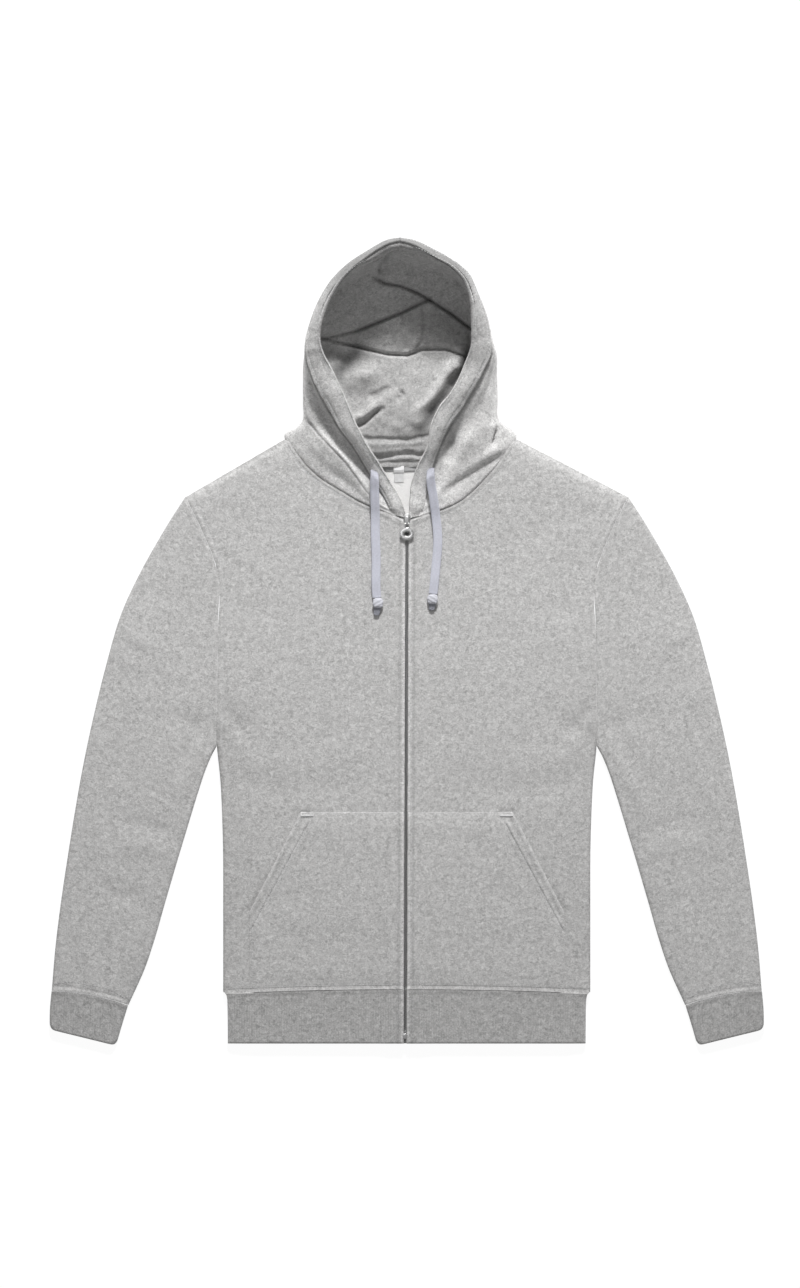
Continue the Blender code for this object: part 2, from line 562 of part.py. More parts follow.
def make_hem_band():
    """One strip from the zip round the back to the zip, doubled and folded at the bottom."""
    radius = RIB + EDGE_GAP / 2
    outer, inner = [], []
    rows = ((0.0, HEM_HALF[0]), (0.5, HEM_HALF[1]), (1.0, HEM_HALF[2]))
    for share, half in rows:
        corner = half - RIB - FOLD_SOFTNESS

        def put(x, z_outer, x_inner, z_inner):
            seam = hem_seam_y(x) - SEAM_GAP
            y = seam + (HEM_BOTTOM_Y - seam) * share
            outer.append((x, y, z_outer))
            inner.append((x_inner, y, z_inner))

        middle_y = HEM_SEAM_Y + (HEM_BOTTOM_Y - HEM_SEAM_Y) * share
        for side in (-1, 1):
            edge = zip_x(middle_y) + side * ZIP_HALF
            places = [edge + side * d for d in HEM_FROM_ZIP]
            places += [side * (half - d) for d in (*HEM_FROM_SIDE, radius)]
            fold = [(side * (half - radius + radius * math.cos(t)), radius * (1 + math.sin(t)), math.sin(t))
                    for t in (math.pi / 4, 0.0, -math.pi / 4)]
            if side > 0:
                places, fold = places[::-1], fold[::-1]
                for x in np.linspace(radius - half, half - radius, HEM_BACK_COLUMNS):
                    put(x, 0.0, np.clip(x, -corner, corner), RIB)
                for x, z, turn in fold:
                    put(x, z, side * (half - RIB), RIB + EDGE_GAP * (0.5 + 0.3 * turn))
            for x in places:
                gap = EDGE_GAP + (MID_GAP - EDGE_GAP) * smoothstep((half - abs(x)) / PUFF_REACH)
                near = 1.0 - smoothstep((abs(x - zip_x(middle_y)) - ZIP_FLAT) / ZIP_SLOPE)
                gap += (ZIP_GAP - MID_GAP) * near
                put(x, 2 * RIB + gap, np.clip(x, -corner, corner), RIB + gap)
            if side < 0:
                for x, z, turn in fold:
                    put(x, z, side * (half - RIB), RIB + EDGE_GAP * (0.5 + 0.3 * turn))
    columns = len(outer) // len(rows)
    cloth("hem_band", outer, inner, grid_faces(len(rows), columns), RIB_KNIT)


def make_pockets():
    """Kangaroo pocket halves, lying on the fronts."""
    for side, name in ((-1, "pocket_left"), (1, "pocket_right")):
        slant = along([(POCKET_TOP_X, POCKET_TOP_Y), POCKET_CORNER], np.linspace(0, 1, POCKET_ROWS[0]))
        drop = along([POCKET_CORNER, (POCKET_CORNER[0], POCKET_BOTTOM_Y)], np.linspace(0, 1, POCKET_ROWS[1]))
        outline = np.vstack([slant, drop[1:]])
        shares = np.array(POCKET_SHARES)
        plan = np.empty((len(outline), len(shares), 2))
        for i, (x, y) in enumerate(outline):
            inner_x = side * zip_x(y) + ZIP_HALF + POCKET_INSET
            plan[i, :, 0] = side * (inner_x + (x - inner_x) * shares)
            plan[i, :, 1] = y
        flat = plan.reshape(-1, 2)
        lift = 2 * WALL + layer_gap(flat[:, 0], flat[:, 1]) + LAY_GAP
        top, low = lying(plan, lift, POCKET_THICK)
        cloth(name, top, low, grid_faces(*plan.shape[:2]), FLEECE)


def rim_rows(side):
    """Mouth and outer casing edge, two steps a station."""
    table = RIM_LEFT if side < 0 else RIM_RIGHT
    rows = spline(table, 2 * len(table) - 1)
    return rows[:, :3], rows[:, 3:]


def casing_skin(side):
    """The casing's middle rows, from its outer edge to the mouth, with their normals."""
    mouth, edge = rim_rows(side)
    rows = edge[:, None] + (mouth - edge)[:, None] * CASING_SHARES[None, :, None]
    flat = rows.reshape(-1, 3)
    normals = upward(skin_normals(flat, grid_faces(*rows.shape[:2])), flat)
    return rows, normals.reshape(rows.shape)


def mitre(first, second):
    """The direction half way between two sets of normals."""
    total = first + second
    return total / np.linalg.norm(total, axis=-1)[:, None]


def make_casing():
    """The tunnel along the rim: a soft flat tube from the zip top to the crown seam."""
    for side, name in ((-1, "hood_casing_left"), (1, "hood_casing_right")):
        rows, normals = casing_skin(side)
        wall_normals = hood_skin(side)[1]
        start = len(rows) - len(wall_normals)
        normals[start:, 0] = mitre(normals[start:, 0], wall_normals[:, 0])
        outer = (rows + normals * CASING_CROWN[None, :, None]).reshape(-1, 3)
        inner = (rows - normals * (CASING_DEPTH - CASING_CROWN)[None, :, None]).reshape(-1, 3)
        hold_seam(outer, inner, rows.reshape(-1, 3), side)
        cloth(name, outer, inner, grid_faces(*rows.shape[:2]), FLEECE)


def upward(normals, points):
    """Turn normals so that they point away from the middle of the hood."""
    middle = np.array([HOOD_X, *HOOD_MIDDLE])
    sign = np.sign(np.einsum("ij,ij->i", normals, points - middle).sum())
    return normals * (sign if sign else 1.0)


def hold_seam(outer, inner, points, side):
    """Keep points that lie on the hood's centre seam half a seam gap from it."""
    on_seam = np.abs(points[:, 0] - HOOD_X) < 1e-6
    for skin in (outer, inner):
        skin[on_seam, 0] = HOOD_X + side * SEAM_GAP / 2
        beyond = (skin[:, 0] - HOOD_X) * side < SEAM_GAP / 2
        skin[beyond, 0] = HOOD_X + side * SEAM_GAP / 2


def hood_side_rows(side):
    """Stations of the hood's outer cloth: casing edge, trough, ridge, lower edge."""
    table = RIM_LEFT if side < 0 else RIM_RIGHT
    rows = []
    for k, rim in enumerate(table[1:]):
        mouth, edge = np.array(rim[:3], float), np.array(rim[3:], float)
        if k < SIDE_STATIONS:
            low = np.array(side_table(side)[k], float).reshape(3, 3)
        else:
            inward = mouth[:2] - edge[:2]
            inward = inward / np.linalg.norm(inward)
            lean = min(1.0, (k - SIDE_STATIONS + 1) / LEAN_STATIONS)
            low = np.array([[*(edge[:2] + inward * inset * lean), edge[2] * share]
                            for inset, share in WALL_LEAN])
        first = edge + (low[0] - edge) * (CASING_GAP / np.linalg.norm(low[0] - edge))
        rows.append(np.vstack([first, low]).ravel())
    rows = spline(rows, 2 * len(rows) - 1)
    return rows.reshape(len(rows), 4, 3)


def hood_skin(side):
    """Outer skin of one half of the hood, station by column, its normals and its faces."""
    rows = hood_side_rows(side)
    first_under = 2 * (NECK_STATIONS - 1)
    spine = spline([(y,) for y in SPINE_Y], 2 * len(SPINE_Y) - 1)[:, 0]
    points = []
    for i, (edge, trough, ridge, low) in enumerate(rows):
        line = [edge, (edge + trough) / 2, trough, (trough + ridge) / 2, ridge, (ridge + low) / 2, low]
        end = np.array([HOOD_X, spine[max(i - first_under, 0)], 0.0])
        if i == first_under:
            for share in UNDER_SHARES + (1.0,):
                x = low[0] + (HOOD_X - low[0]) * share
                line.append(np.array([x, back_neck_y(x, low[0]), 0.0]))
        else:
            reach = end - low * (1.0, 1.0, 0.0)
            turn = low * (1.0, 1.0, 0.0) + reach * UNDER_TURN / max(np.linalg.norm(reach), UNDER_TURN)
            line += [turn, turn + (end - turn) * UNDER_SHARES[1], end]
        points.append(line)
    points = np.array(points)
    low_column = points.shape[1] - 4
    faces = grid_faces(*points.shape[:2], keep=lambda i, j: j < low_column or i >= first_under)
    flat = points.reshape(-1, 3)
    normals = upward(skin_normals(flat, faces), flat)
    return points, normals.reshape(points.shape), faces


def make_hood_outer():
    for side, name in ((-1, "hood_left"), (1, "hood_right")):
        points, normals, faces = hood_skin(side)
        casing_normals = casing_skin(side)[1]
        normals[:, 0] = mitre(normals[:, 0], casing_normals[-len(points):, 0])
        inner = points - normals * HOOD_WALL
        under = points.shape[1] - 3
        inner[:, under:] = points[:, under:] + (0.0, 0.0, HOOD_WALL)
        flat = points.reshape(-1, 3)
        outer, inner = flat.copy(), inner.reshape(-1, 3)
        hold_seam(outer, inner, flat, side)
        cloth(name, outer, inner, faces, FLEECE)


def lining_height(x, y):
    """Height of the lining's upper skin inside the hood, with its folds."""
    table = np.array(LINING_FLOOR)
    height = np.interp(y, table[:, 0], table[:, 1])
    height = height + LINING_SIDE_RISE * np.clip(np.abs(x - HOOD_X) / LINING_HALF, 0.0, 1.2) ** 4
    for x0, y0, x1, y1, lip, reach, drop in LINING_FOLDS:
        length = math.hypot(x1 - x0, y1 - y0)
        ux, uy = (x1 - x0) / length, (y1 - y0) / length
        run = (x - x0) * ux + (y - y0) * uy
        behind = drop * ((x - x0) * uy - (y - y0) * ux)
        ends = [smoothstep((d + FOLD_END) / (2 * FOLD_END)) for d in (run, length - run)]
        rise = lip * ends[0] * ends[1] * smoothstep(behind / FOLD_SOFT + 0.5)
        height = height + rise * np.exp(-np.maximum(behind, 0.0) / reach)
    for x0, y0, x1, y1, high, half in LINING_RIDGES:
        away = line_distance(x, y, [(x0, y0), (x1, y1)])
        height = height + high * np.exp(-(away / half) ** 2)
    return height


def make_lining():
    """Hood lining: from under the casing down the side, then over the floor to the spine."""
    for side, name in ((-1, "hood_lining_left"), (1, "hood_lining_right")):
        mouth, edge = rim_rows(side)
        normals = casing_skin(side)[1][:, -2]
        first = 2 * LINING_FIRST
        spine = spline([(y,) for y in LINING_SPINE_Y], 2 * len(LINING_SPINE_Y) - 1)[:, 0]
        points = []
        for k in range(first, len(mouth)):
            m, e = mouth[k], edge[k]
            wide = np.linalg.norm(e[:2] - m[:2])
            top = m + (e - m) * LINING_TOP_SHARE - normals[k] * (CASING_THICK + HOOD_WALL + LAY_GAP)
            more = smoothstep((wide - LINING_UNDERCUT_WIDE[0]) / LINING_UNDERCUT_WIDE[1])
            undercut = LINING_UNDERCUT[0] + LINING_UNDERCUT[1] * more
            wall = m + (e - m) * undercut
            foot = m[:2] + (m[:2] - e[:2]) / wide * LINING_FOOT
            foot_z = lining_height(foot[0], foot[1])
            wall[2] = max((top[2] + foot_z) / 2, foot_z + 0.5)
            line = [top, wall]
            end = np.array([HOOD_X, spine[k - first]])
            for share in LINING_SHARES:
                x, y = foot + (end - foot) * share
                line.append(np.array([x, y, lining_height(x, y)]))
            points.append(line)
        points = np.array(points)
        points[-1, :, 0] = HOOD_X
        points[..., 2] = np.maximum(points[..., 2], 2 * HOOD_WALL + LAY_GAP)
        flat = points.reshape(-1, 3)
        faces = grid_faces(*points.shape[:2])
        skin = skin_normals(flat, faces)
        skin = skin * np.sign(skin[:, 2].sum())
        outer, inner = flat.copy(), flat - skin * HOOD_WALL
        inner[:, 2] = np.maximum(inner[:, 2], HOOD_WALL + LAY_GAP)
        hold_seam(outer, inner, flat, side)
        cloth(name, outer, inner, faces, LINING_CLOTH)


def make_neck_tape():
    """Tape over the back-neck seam, with two blank labels on it."""
    xs = np.linspace(HOOD_X - TAPE_HALF, HOOD_X + TAPE_HALF, 9)
    end_x = np.where(xs < HOOD_X, shoulder_point(-1)[0], shoulder_point(1)[0])
    upper = back_neck_y(xs, end_x) - 2 * SEAM_GAP
    plan = np.stack([np.column_stack([xs, upper]), np.column_stack([xs, upper - TAPE_WIDE])])
    top, low = lying(plan, WALL + LAY_GAP, TAPE_THICK)
    cloth("neck_tape", top, low, grid_faces(2, len(xs)), NECK_TAPE_CLOTH)
    z = WALL + 2 * LAY_GAP + TAPE_THICK
    add_object("neck_label", box_points(*LABEL, z, z + LABEL_THICK), BOX_FACES, LABEL_CLOTH)
    z = WALL + LAY_GAP
    add_object("size_label", box_points(*SIZE_LABEL, z, z + LABEL_THICK), BOX_FACES, NECK_TAPE_CLOTH)


def slanted_strip(name, offset, wide, y0, y1, z0, z1, spec):
    """A strip along the zip, from offset to offset + wide beside its middle."""
    points = [(zip_x(y) + offset + d, y, z) for z in (z0, z1)
              for d, y in ((0.0, y0), (wide, y0), (wide, y1), (0.0, y1))]
    add_object(name, points, BOX_FACES, spec, smooth=False)


def make_zip():
    gap = SEAM_GAP / 2
    tape_y = (HEM_BOTTOM_Y + 2.0, ZIP_TOP_Y - 1.0)
    slanted_strip("zip_tape_right", gap, ZIP_TAPE_WIDE, *tape_y, *TAPE_Z, TAPE_CLOTH)
    slanted_strip("zip_tape_left", -gap - ZIP_TAPE_WIDE, ZIP_TAPE_WIDE, *tape_y, *TAPE_Z, TAPE_CLOTH)
    chain_y = (CHAIN_BOTTOM_Y, CHAIN_TOP_Y)
    slanted_strip("zip_chain", -CHAIN_HALF, 2 * CHAIN_HALF, *chain_y, *CHAIN_Z, CHAIN_METAL)
    wide, tall = BOX_SIZE
    top = CHAIN_BOTTOM_Y - LAY_GAP
    slanted_strip("zip_box", -wide / 2, wide, top - tall, top, *BOX_Z, METAL)


def prism(outline, z0, z1):
    """Points and faces of an upright prism over a plan outline that turns left."""
    count = len(outline)
    points = [(x, y, z0) for x, y in outline] + [(x, y, z1) for x, y in outline]
    faces = [tuple(reversed(range(count))), tuple(range(count, 2 * count))]
    faces += [(k, (k + 1) % count, (k + 1) % count + count, k + count) for k in range(count)]
    return points, faces


def join(name, pieces, spec, location=(0.0, 0.0, 0.0)):
    """One solid from overlapping closed pieces, joined by exact booleans."""
    base = None
    for k, (points, faces) in enumerate(pieces):
        moved = [tuple(np.array(p) - location) for p in points]
        made = add_object(name if k == 0 else name + "_cut", moved, faces, spec, False, location)
        if base is None:
            base = made
            continue
        union = base.modifiers.new("join", "BOOLEAN")
        union.operation = "UNION"
        union.solver = "EXACT"
        union.object = made
        bake(base)
        bpy.data.objects.remove(made)
    return base


def bake(made):
    depsgraph = bpy.context.evaluated_depsgraph_get()
    mesh = bpy.data.meshes.new_from_object(made.evaluated_get(depsgraph))
    made.modifiers.clear()
    made.data = mesh
    mesh.name = made.name


def make_slider():
    """Slider: two plates on a post, with a bridge that the puller hangs in."""
    x = ZIP_X_TOP
    plate = [(x + px, SLIDER_Y[0] + py) for px, py in SLIDER_OUTLINE]
    plate += [(x - px, SLIDER_Y[0] + py) for px, py in reversed(SLIDER_OUTLINE)]
    post_z = (SLIDER_BOTTOM_Z[1] - WELD, SLIDER_TOP_Z[0] + WELD)
    post = box_points(x - POST_HALF, x + POST_HALF, *POST_Y, *post_z)
    b0, b1 = BRIDGE_Y
    low = SLIDER_TOP_Z[1] - WELD
    shoulder = BRIDGE_Z[1] - BRIDGE_ROUND
    arch = [(b0, low), (b0 + BRIDGE_LEG, low), (b0 + BRIDGE_LEG, BRIDGE_Z[0]), (b1 - BRIDGE_LEG, BRIDGE_Z[0]),
            (b1 - BRIDGE_LEG, low), (b1, low), (b1, shoulder), (b1 - BRIDGE_ROUND, BRIDGE_Z[1]),
            (b0 + BRIDGE_ROUND, BRIDGE_Z[1]), (b0, shoulder)]
    upright, faces = prism(arch, x - BRIDGE_HALF, x + BRIDGE_HALF)
    bridge = [(z, a, b) for a, b, z in upright]
    pieces = [prism(plate, *SLIDER_TOP_Z), prism(plate, *SLIDER_BOTTOM_Z), (post, BOX_FACES), (bridge, faces)]
    join("slider", pieces, METAL)


def make_pull_tab():
    """Ring puller: its bar runs through the slider's bridge, along the joint axis."""
    px, py, pz = PIVOT
    rounds = TAB_ROUNDS
    ring = []
    for k in range(rounds):
        turn = 2 * math.pi * k / rounds
        ring.append((px + TAB_RADIUS[0] * math.cos(turn), TAB_CENTRE_Y + TAB_RADIUS[1] * math.sin(turn)))
    hole = [(px + (x - px) * TAB_HOLE[0] / TAB_RADIUS[0],
             TAB_CENTRE_Y + (y - TAB_CENTRE_Y) * TAB_HOLE[1] / TAB_RADIUS[1]) for x, y in ring]
    half = TAB_THICK / 2
    points = [(x, y, z) for z in (pz - half, pz + half) for loop in (ring, hole) for x, y in loop]
    faces = []
    for k in range(rounds):
        n = (k + 1) % rounds
        ring_low, hole_low, ring_high, hole_high = 0, rounds, 2 * rounds, 3 * rounds
        faces.append((ring_low + n, ring_low + k, hole_low + k, hole_low + n))
        faces.append((ring_high + k, ring_high + n, hole_high + n, hole_high + k))
        faces.append((ring_low + k, ring_low + n, ring_high + n, ring_high + k))
        faces.append((hole_low + n, hole_low + k, hole_high + k, hole_high + n))
    pieces = [(points, faces)]
    for side in (-1, 1):
        profile = [(TAB_ARM_Y, pz - half)]
        profile += [(py + half * math.sin(t), pz - half * math.cos(t)) for t in np.linspace(0.0, math.pi, 8)]
        profile += [(TAB_ARM_Y, pz + half)]
        x0, x1 = sorted((px + side * TAB_ARM[0], px + side * TAB_ARM[1]))
        upright, arm_faces = prism(profile, x0, x1)
        pieces.append(([(z, a, b) for a, b, z in upright], arm_faces))
    bar = [(py + TAB_BAR * math.cos(t), pz + TAB_BAR * math.sin(t))
           for t in np.linspace(0, 2 * math.pi, 12, endpoint=False)]
    upright, bar_faces = prism(bar, px - TAB_ARM[0] - 2 * WELD, px + TAB_ARM[0] + 2 * WELD)
    pieces.append(([(z, a, b) for a, b, z in upright], bar_faces))
    join("pull_tab", pieces, METAL, PIVOT)


def flat_tube(route, wide, thick):
    """Points and faces of a flat cord along a route, with rounded edges and closed ends."""
    route = np.array(route, float)
    sides = 8
    points = []
    for k, place in enumerate(route):
        ahead = route[min(k + 1, len(route) - 1)] - route[max(k - 1, 0)]
        ahead = ahead / np.linalg.norm(ahead)
        across = np.cross(ahead, (0.0, 0.0, 1.0))
        across = across / np.linalg.norm(across)
        up = np.cross(across, ahead)
        for j in range(sides):
            turn = 2 * math.pi * (j + 0.5) / sides
            out = math.copysign(abs(math.cos(turn)) ** CORD_ROUND[0], math.cos(turn)) * wide / 2
            rise = math.copysign(abs(math.sin(turn)) ** CORD_ROUND[1], math.sin(turn)) * thick / 2
            points.append(place + across * out + up * rise)
    faces = [tuple(face) for face in grid_faces(len(route), sides, wrap=True)]
    last = (len(route) - 1) * sides
    faces += [tuple(reversed(range(sides))), tuple(range(last, last + sides))]
    points = np.array(points)
    if face_volume(points, faces) < 0.0:
        faces = [tuple(reversed(face)) for face in faces]
    return points, faces


def make_knot(name, centre, tail):
    """A squashed round knot with the cord's short tail below it."""
    rounds, rings = KNOT_GRID
    wide, tall, high = (v / 2 for v in KNOT_SIZE)
    points = []
    for i in range(rings):
        rise = -math.pi / 2 + math.pi * (i + 0.5) / rings
        for j in range(rounds):
            turn = 2 * math.pi * j / rounds
            flat = math.cos(rise) ** KNOT_ROUND
            points.append((centre[0] + wide * flat * math.cos(turn), centre[1] + tall * flat * math.sin(turn),
                           centre[2] + high * math.sin(rise)))
    faces = grid_faces(rings, rounds, wrap=True)
    last = (rings - 1) * rounds
    faces += [tuple(reversed(range(rounds))), tuple(range(last, last + rounds))]
    join(name, [(points, faces), flat_tube(tail, *TAIL_SIZE)], CORD_CLOTH)


def make_drawcords():
    for side, route in (("left", CORD_LEFT), ("right", CORD_RIGHT)):
        cord = flat_tube(spline(route, CORD_POINTS), CORD_WIDE, CORD_THICK)
        add_object("drawcord_" + side, *cord, CORD_CLOTH)
    make_knot("cord_knot_left", KNOT_LEFT, TAIL_LEFT)
    make_knot("cord_knot_right", KNOT_RIGHT, TAIL_RIGHT)


def main():
    for old in list(bpy.data.objects):
        bpy.data.objects.remove(old)
    make_back()
    make_fronts()
    make_sleeves()
    make_hem_band()
    make_pockets()
    make_hood_outer()
    make_lining()
    make_casing()
    make_neck_tape()
    make_zip()
    make_slider()
    make_pull_tab()
    make_drawcords()


main()
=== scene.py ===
"""A zip up hoodie laid flat on its back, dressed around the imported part.

+X points right and +Y from the hem to the hood, as seen from above; left and right are named so too.
Tables are in millimetres, and meshes are made in metres.
"""
import math

import bpy
import numpy as np
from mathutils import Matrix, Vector
from mathutils.bvhtree import BVHTree


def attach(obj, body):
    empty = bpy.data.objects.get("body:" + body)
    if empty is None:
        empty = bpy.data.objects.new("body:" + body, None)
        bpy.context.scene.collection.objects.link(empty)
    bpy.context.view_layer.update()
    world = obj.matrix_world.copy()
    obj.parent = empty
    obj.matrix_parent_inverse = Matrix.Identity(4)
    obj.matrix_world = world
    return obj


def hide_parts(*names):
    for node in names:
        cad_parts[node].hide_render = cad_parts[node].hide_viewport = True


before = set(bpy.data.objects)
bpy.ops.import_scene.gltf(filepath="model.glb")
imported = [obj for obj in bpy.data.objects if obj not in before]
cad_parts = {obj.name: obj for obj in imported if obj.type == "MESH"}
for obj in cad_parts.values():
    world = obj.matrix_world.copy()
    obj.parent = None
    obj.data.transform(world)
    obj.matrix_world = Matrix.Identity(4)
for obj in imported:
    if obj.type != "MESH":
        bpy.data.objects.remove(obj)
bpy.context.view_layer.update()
MM = 0.001
LEFT, RIGHT = -1, 1
SIDES = ((LEFT, "left"), (RIGHT, "right"))

# Cloth
WALL = 2.8
RIB = 3
HOOD_WALL = 2
CASING_THICK = 3.4
POCKET_THICK = 2.7
LINING_THICK = 1.6
EDGE_GAP = 0.5
MID_GAP = 1.8
ZIP_GAP = 3
PUFF_REACH = 26
ZIP_FLAT = 15
ZIP_SLOPE = 22
MIDDLE = WALL + EDGE_GAP / 2    # height where an upper and a lower layer meet

# Body
HALF_WIDTH = 214.7
HEM_SEAM_Y = -406.2
HEM_SEAM_DROP = 5
HEM_BOTTOM_Y = -469
HEM_TALL = 63
HEM_HALF = (209.8, 209.4, 209.2)
HEM_RUNS = (0, 208, 624)        # where the band's left front, back and right front start along it
SIDE = (
    (214.7, -409), (214.7, -320), (214.9, -240), (217.5, -168),
)
ARMHOLE = (
    (222, -121), (222, -67), (221, -11), (220.3, 33), (218.8, 58), (221.5, 82.5), (228, 104), (241, 134), (249, 150.5),
    (258.5, 170),
)
NECK_START = 0.7
ZIP_TOP_Y = 143
LAST_ZIP_ROW_Y = 131
ZIP_X_TOP = 0.3
ZIP_X_BOTTOM = -2
ZIP_HALF = 3.2
ZIP_LIP = 1.5                   # the turned edges bulge in to the teeth
HOOD_X = -8
BACK_NECK_Y = 206.5
BACK_NECK_RISE = 34
BACK_NECK_POWER = 2.2

# Sleeve stations from armhole to cuff: outer x, outer y, inner x, inner y
SLEEVE = (
    (259, 170.2, 222.3, -121.3), (280, 137.5, 229, -134), (310, 85, 236, -151), (334.5, 32, 243, -172),
    (351.5, -26, 251, -198), (366, -85, 258.5, -223), (378, -141, 267, -251), (388, -197, 275.5, -280),
    (396.5, -250, 284.5, -311), (404.5, -304, 294.5, -346), (411, -357, 307, -383), (415.2, -407.5, 325.5, -424),
)
CUFF = (
    (415.5, -408, 326, -424.6), (417.4, -430, 333.5, -449), (417.6, -452.5, 340, -471.6),
)
CUFF_TALL = 46
CUFF_BOW = 4
CUFF_BOW_TURN = 0.2
BOW_STATIONS = 4

# Pocket
POCKET_TOP_Y = -198
POCKET_TOP_X = 124
POCKET_CORNER = (184, -315)
POCKET_SLANT = ((POCKET_TOP_X, POCKET_TOP_Y), POCKET_CORNER)
POCKET_BOTTOM_Y = -403.5
POCKET_INSET = 0.6
POCKET_STITCH = ((114.6, -211), (183, -338))    # the turned edge is sewn down along this line

# Hood rim stations, from the zip top to the crown: mouth x, y, z, casing edge x, y, z
RIM = {LEFT: (
    (0.4, 145.8, 8.8, -18.8, 150.2, 9), (-7.8, 167, 10.5, -23, 161, 10), (-18, 185, 13, -31, 177, 11),
    (-30, 205, 19, -47, 203, 15.5), (-43, 225, 27, -62, 228, 23), (-58, 251, 34, -78, 249, 30),
    (-66, 270, 38, -86, 263, 33), (-73, 287, 41, -94, 277, 36), (-82, 306, 44, -104, 295, 39.5),
    (-90, 322, 48, -112, 313, 42), (-98, 338, 53, -118, 333, 42), (-102, 354, 56, -118, 354, 41),
    (-100, 371, 60, -111, 379, 42), (-92.5, 393.5, 64, -101, 402, 45), (-80.5, 414, 68, -87, 423.5, 49),
    (-63, 431.5, 72, -68.5, 441.2, 53), (-40.5, 446, 76, -46, 455.8, 56), (-21.5, 457.6, 79, -25, 467.4, 59),
    (-8, 461.5, 80, -8, 471, 60),
), RIGHT: (
    (3.4, 145.4, 8.8, 19.3, 149.6, 9), (4.2, 168, 10.5, 20.5, 160, 10), (6, 188, 13, 26, 181, 11),
    (14, 208, 19, 31, 207, 15.5), (24, 228, 27, 39, 230, 22), (29, 254, 34, 50, 252, 29), (38, 274, 38, 60, 267, 33),
    (50, 289, 41, 69, 281, 36), (60, 305, 44, 80, 299, 40), (68, 324, 48, 90, 318, 43), (74, 340, 53, 100, 340, 44),
    (76, 356, 56, 98, 361, 43), (76, 375, 60, 92, 385, 43), (75, 397, 64, 83, 407, 46), (67, 420, 68, 73, 429, 49),
    (51.5, 436.2, 72, 55.5, 443.6, 53), (33, 445, 76, 36, 455, 56), (9.5, 456.4, 79, 11, 467, 59),
    (-8, 461.5, 80, -8, 471, 60),
)}
RIM_COUNT = 221
RIM_PLACES = np.linspace(0, len(RIM[LEFT]) - 1, RIM_COUNT)
RIM_STEP = 20                   # about the length of rim between two stations
WALL_RUN = 110                  # and about the length of cloth down the hood's wall
# Hood side below the casing: trough x, y, z, ridge x, y, z, lower edge x, y, z
HOOD_SIDE = {LEFT: (
    (-22.4, 158, 9.2, -21.5, 154.5, 9, -20.5, 151, 8.6), (-36, 175, 9.4, -43, 170, 12, -50, 163, 8.6),
    (-51, 199, 10, -62, 197, 15, -75, 177.5, 8.6), (-66, 223, 12.5, -79, 217, 18.5, -101, 194, 8.6),
    (-83, 243, 16, -98, 235, 20, -122, 214, 8.2), (-92, 258, 18, -111, 249, 18.5, -138, 240, 6.2),
    (-100, 271, 21, -114, 263, 18, -122, 259, 9), (-108, 290, 27, -117, 284, 20, -121, 280, 9),
    (-114, 309, 32, -119, 305, 23, -121, 302, 9), (-119, 331, 34, -120, 330, 24, -120, 328, 9),
), RIGHT: (
    (21.6, 157, 9.2, 21.4, 154, 9, 21.2, 150.4, 8.6), (28, 178, 9.8, 35, 171, 11.5, 44, 157.5, 8.6),
    (37, 202, 10.5, 48, 190, 14, 65, 168.5, 8.6), (46, 224, 14, 60, 214, 19, 89, 191, 8.6),
    (58, 246, 20, 74, 235, 23, 109, 214, 8.4), (70, 261, 25, 89, 251, 23, 123, 240, 6.2),
    (78, 276, 29, 93, 268, 23, 107, 261, 9), (88, 295, 33, 98, 290, 25, 106, 286, 9),
    (96, 316, 36, 102, 313, 26, 105.5, 311, 9), (102, 339, 36, 104, 338, 26, 104.5, 337, 9),
)}
NECK_STATIONS = 6
SIDE_STATIONS = 10
SPINE_Y = (
    206.5, 222, 237, 252, 268, 286, 303, 320, 337, 352, 365, 376, 384,
)
WALL_LEAN = ((1, 0.7), (4, 0.42), (9, 0.15))
LEAN_STATIONS = 4
UNDER_TURN = 7
HOOD_ROWS = 250
CROWN_FROM = {LEFT: 13.6, RIGHT: 14.8}          # stations where the casing starts to turn over
CROWN_OVER = 2.8
CROWN_SLIDE = 0.4
FACING_WIDE = 10
FACING_DROP = 7
# Folds on the hood's outside: points, height, half width
HOOD_CREASES = {LEFT: (
    (((-119, 260), (-98, 236), (-72, 209), (-52, 182), (-40, 168)), -2.5, 2.6),
    (((-116, 274), (-92, 249), (-68, 224), (-49, 197), (-36, 178)), 0.9, 5.5),
    (((-112, 306), (-97, 276), (-78, 250), (-60, 222), (-46, 200)), -3.6, 2.8),
    (((-122, 246), (-104, 224), (-84, 202)), 0.8, 6), (((-96, 204), (-78, 190), (-58, 176)), -1, 5),
), RIGHT: (
    (((118, 221), (92, 207), (66, 190), (46, 176)), -2.5, 4.4), (((120, 232), (90, 217), (66, 200)), 1.2, 5.5),
    (((46, 266), (48, 242), (50, 220)), -7, 7), (((74, 262), (70, 238), (66, 222)), 2, 7),
    (((106, 250), (104, 240), (101.5, 230)), -5, 1.9), (((92, 300), (96, 276), (100, 256)), 1.4, 5),
    (((104, 200), (84, 184), (60, 170)), 0.9, 5),
)}
# Soft folds up the hood's walls, in stations along the rim and share of the way down:
# start station, share, end station, share, height, half width
HOOD_FOLDS = (
    (10.2, 0.12, 12.5, 0.62, -1.8, 4.5), (11.6, 0.1, 14, 0.6, 1.5, 5), (13.4, 0.12, 15.2, 0.66, -1.9, 5),
    (15.6, 0.1, 16.6, 0.6, 1.5, 5), (12.5, 0.5, 17.5, 0.56, -1.3, 5),
)
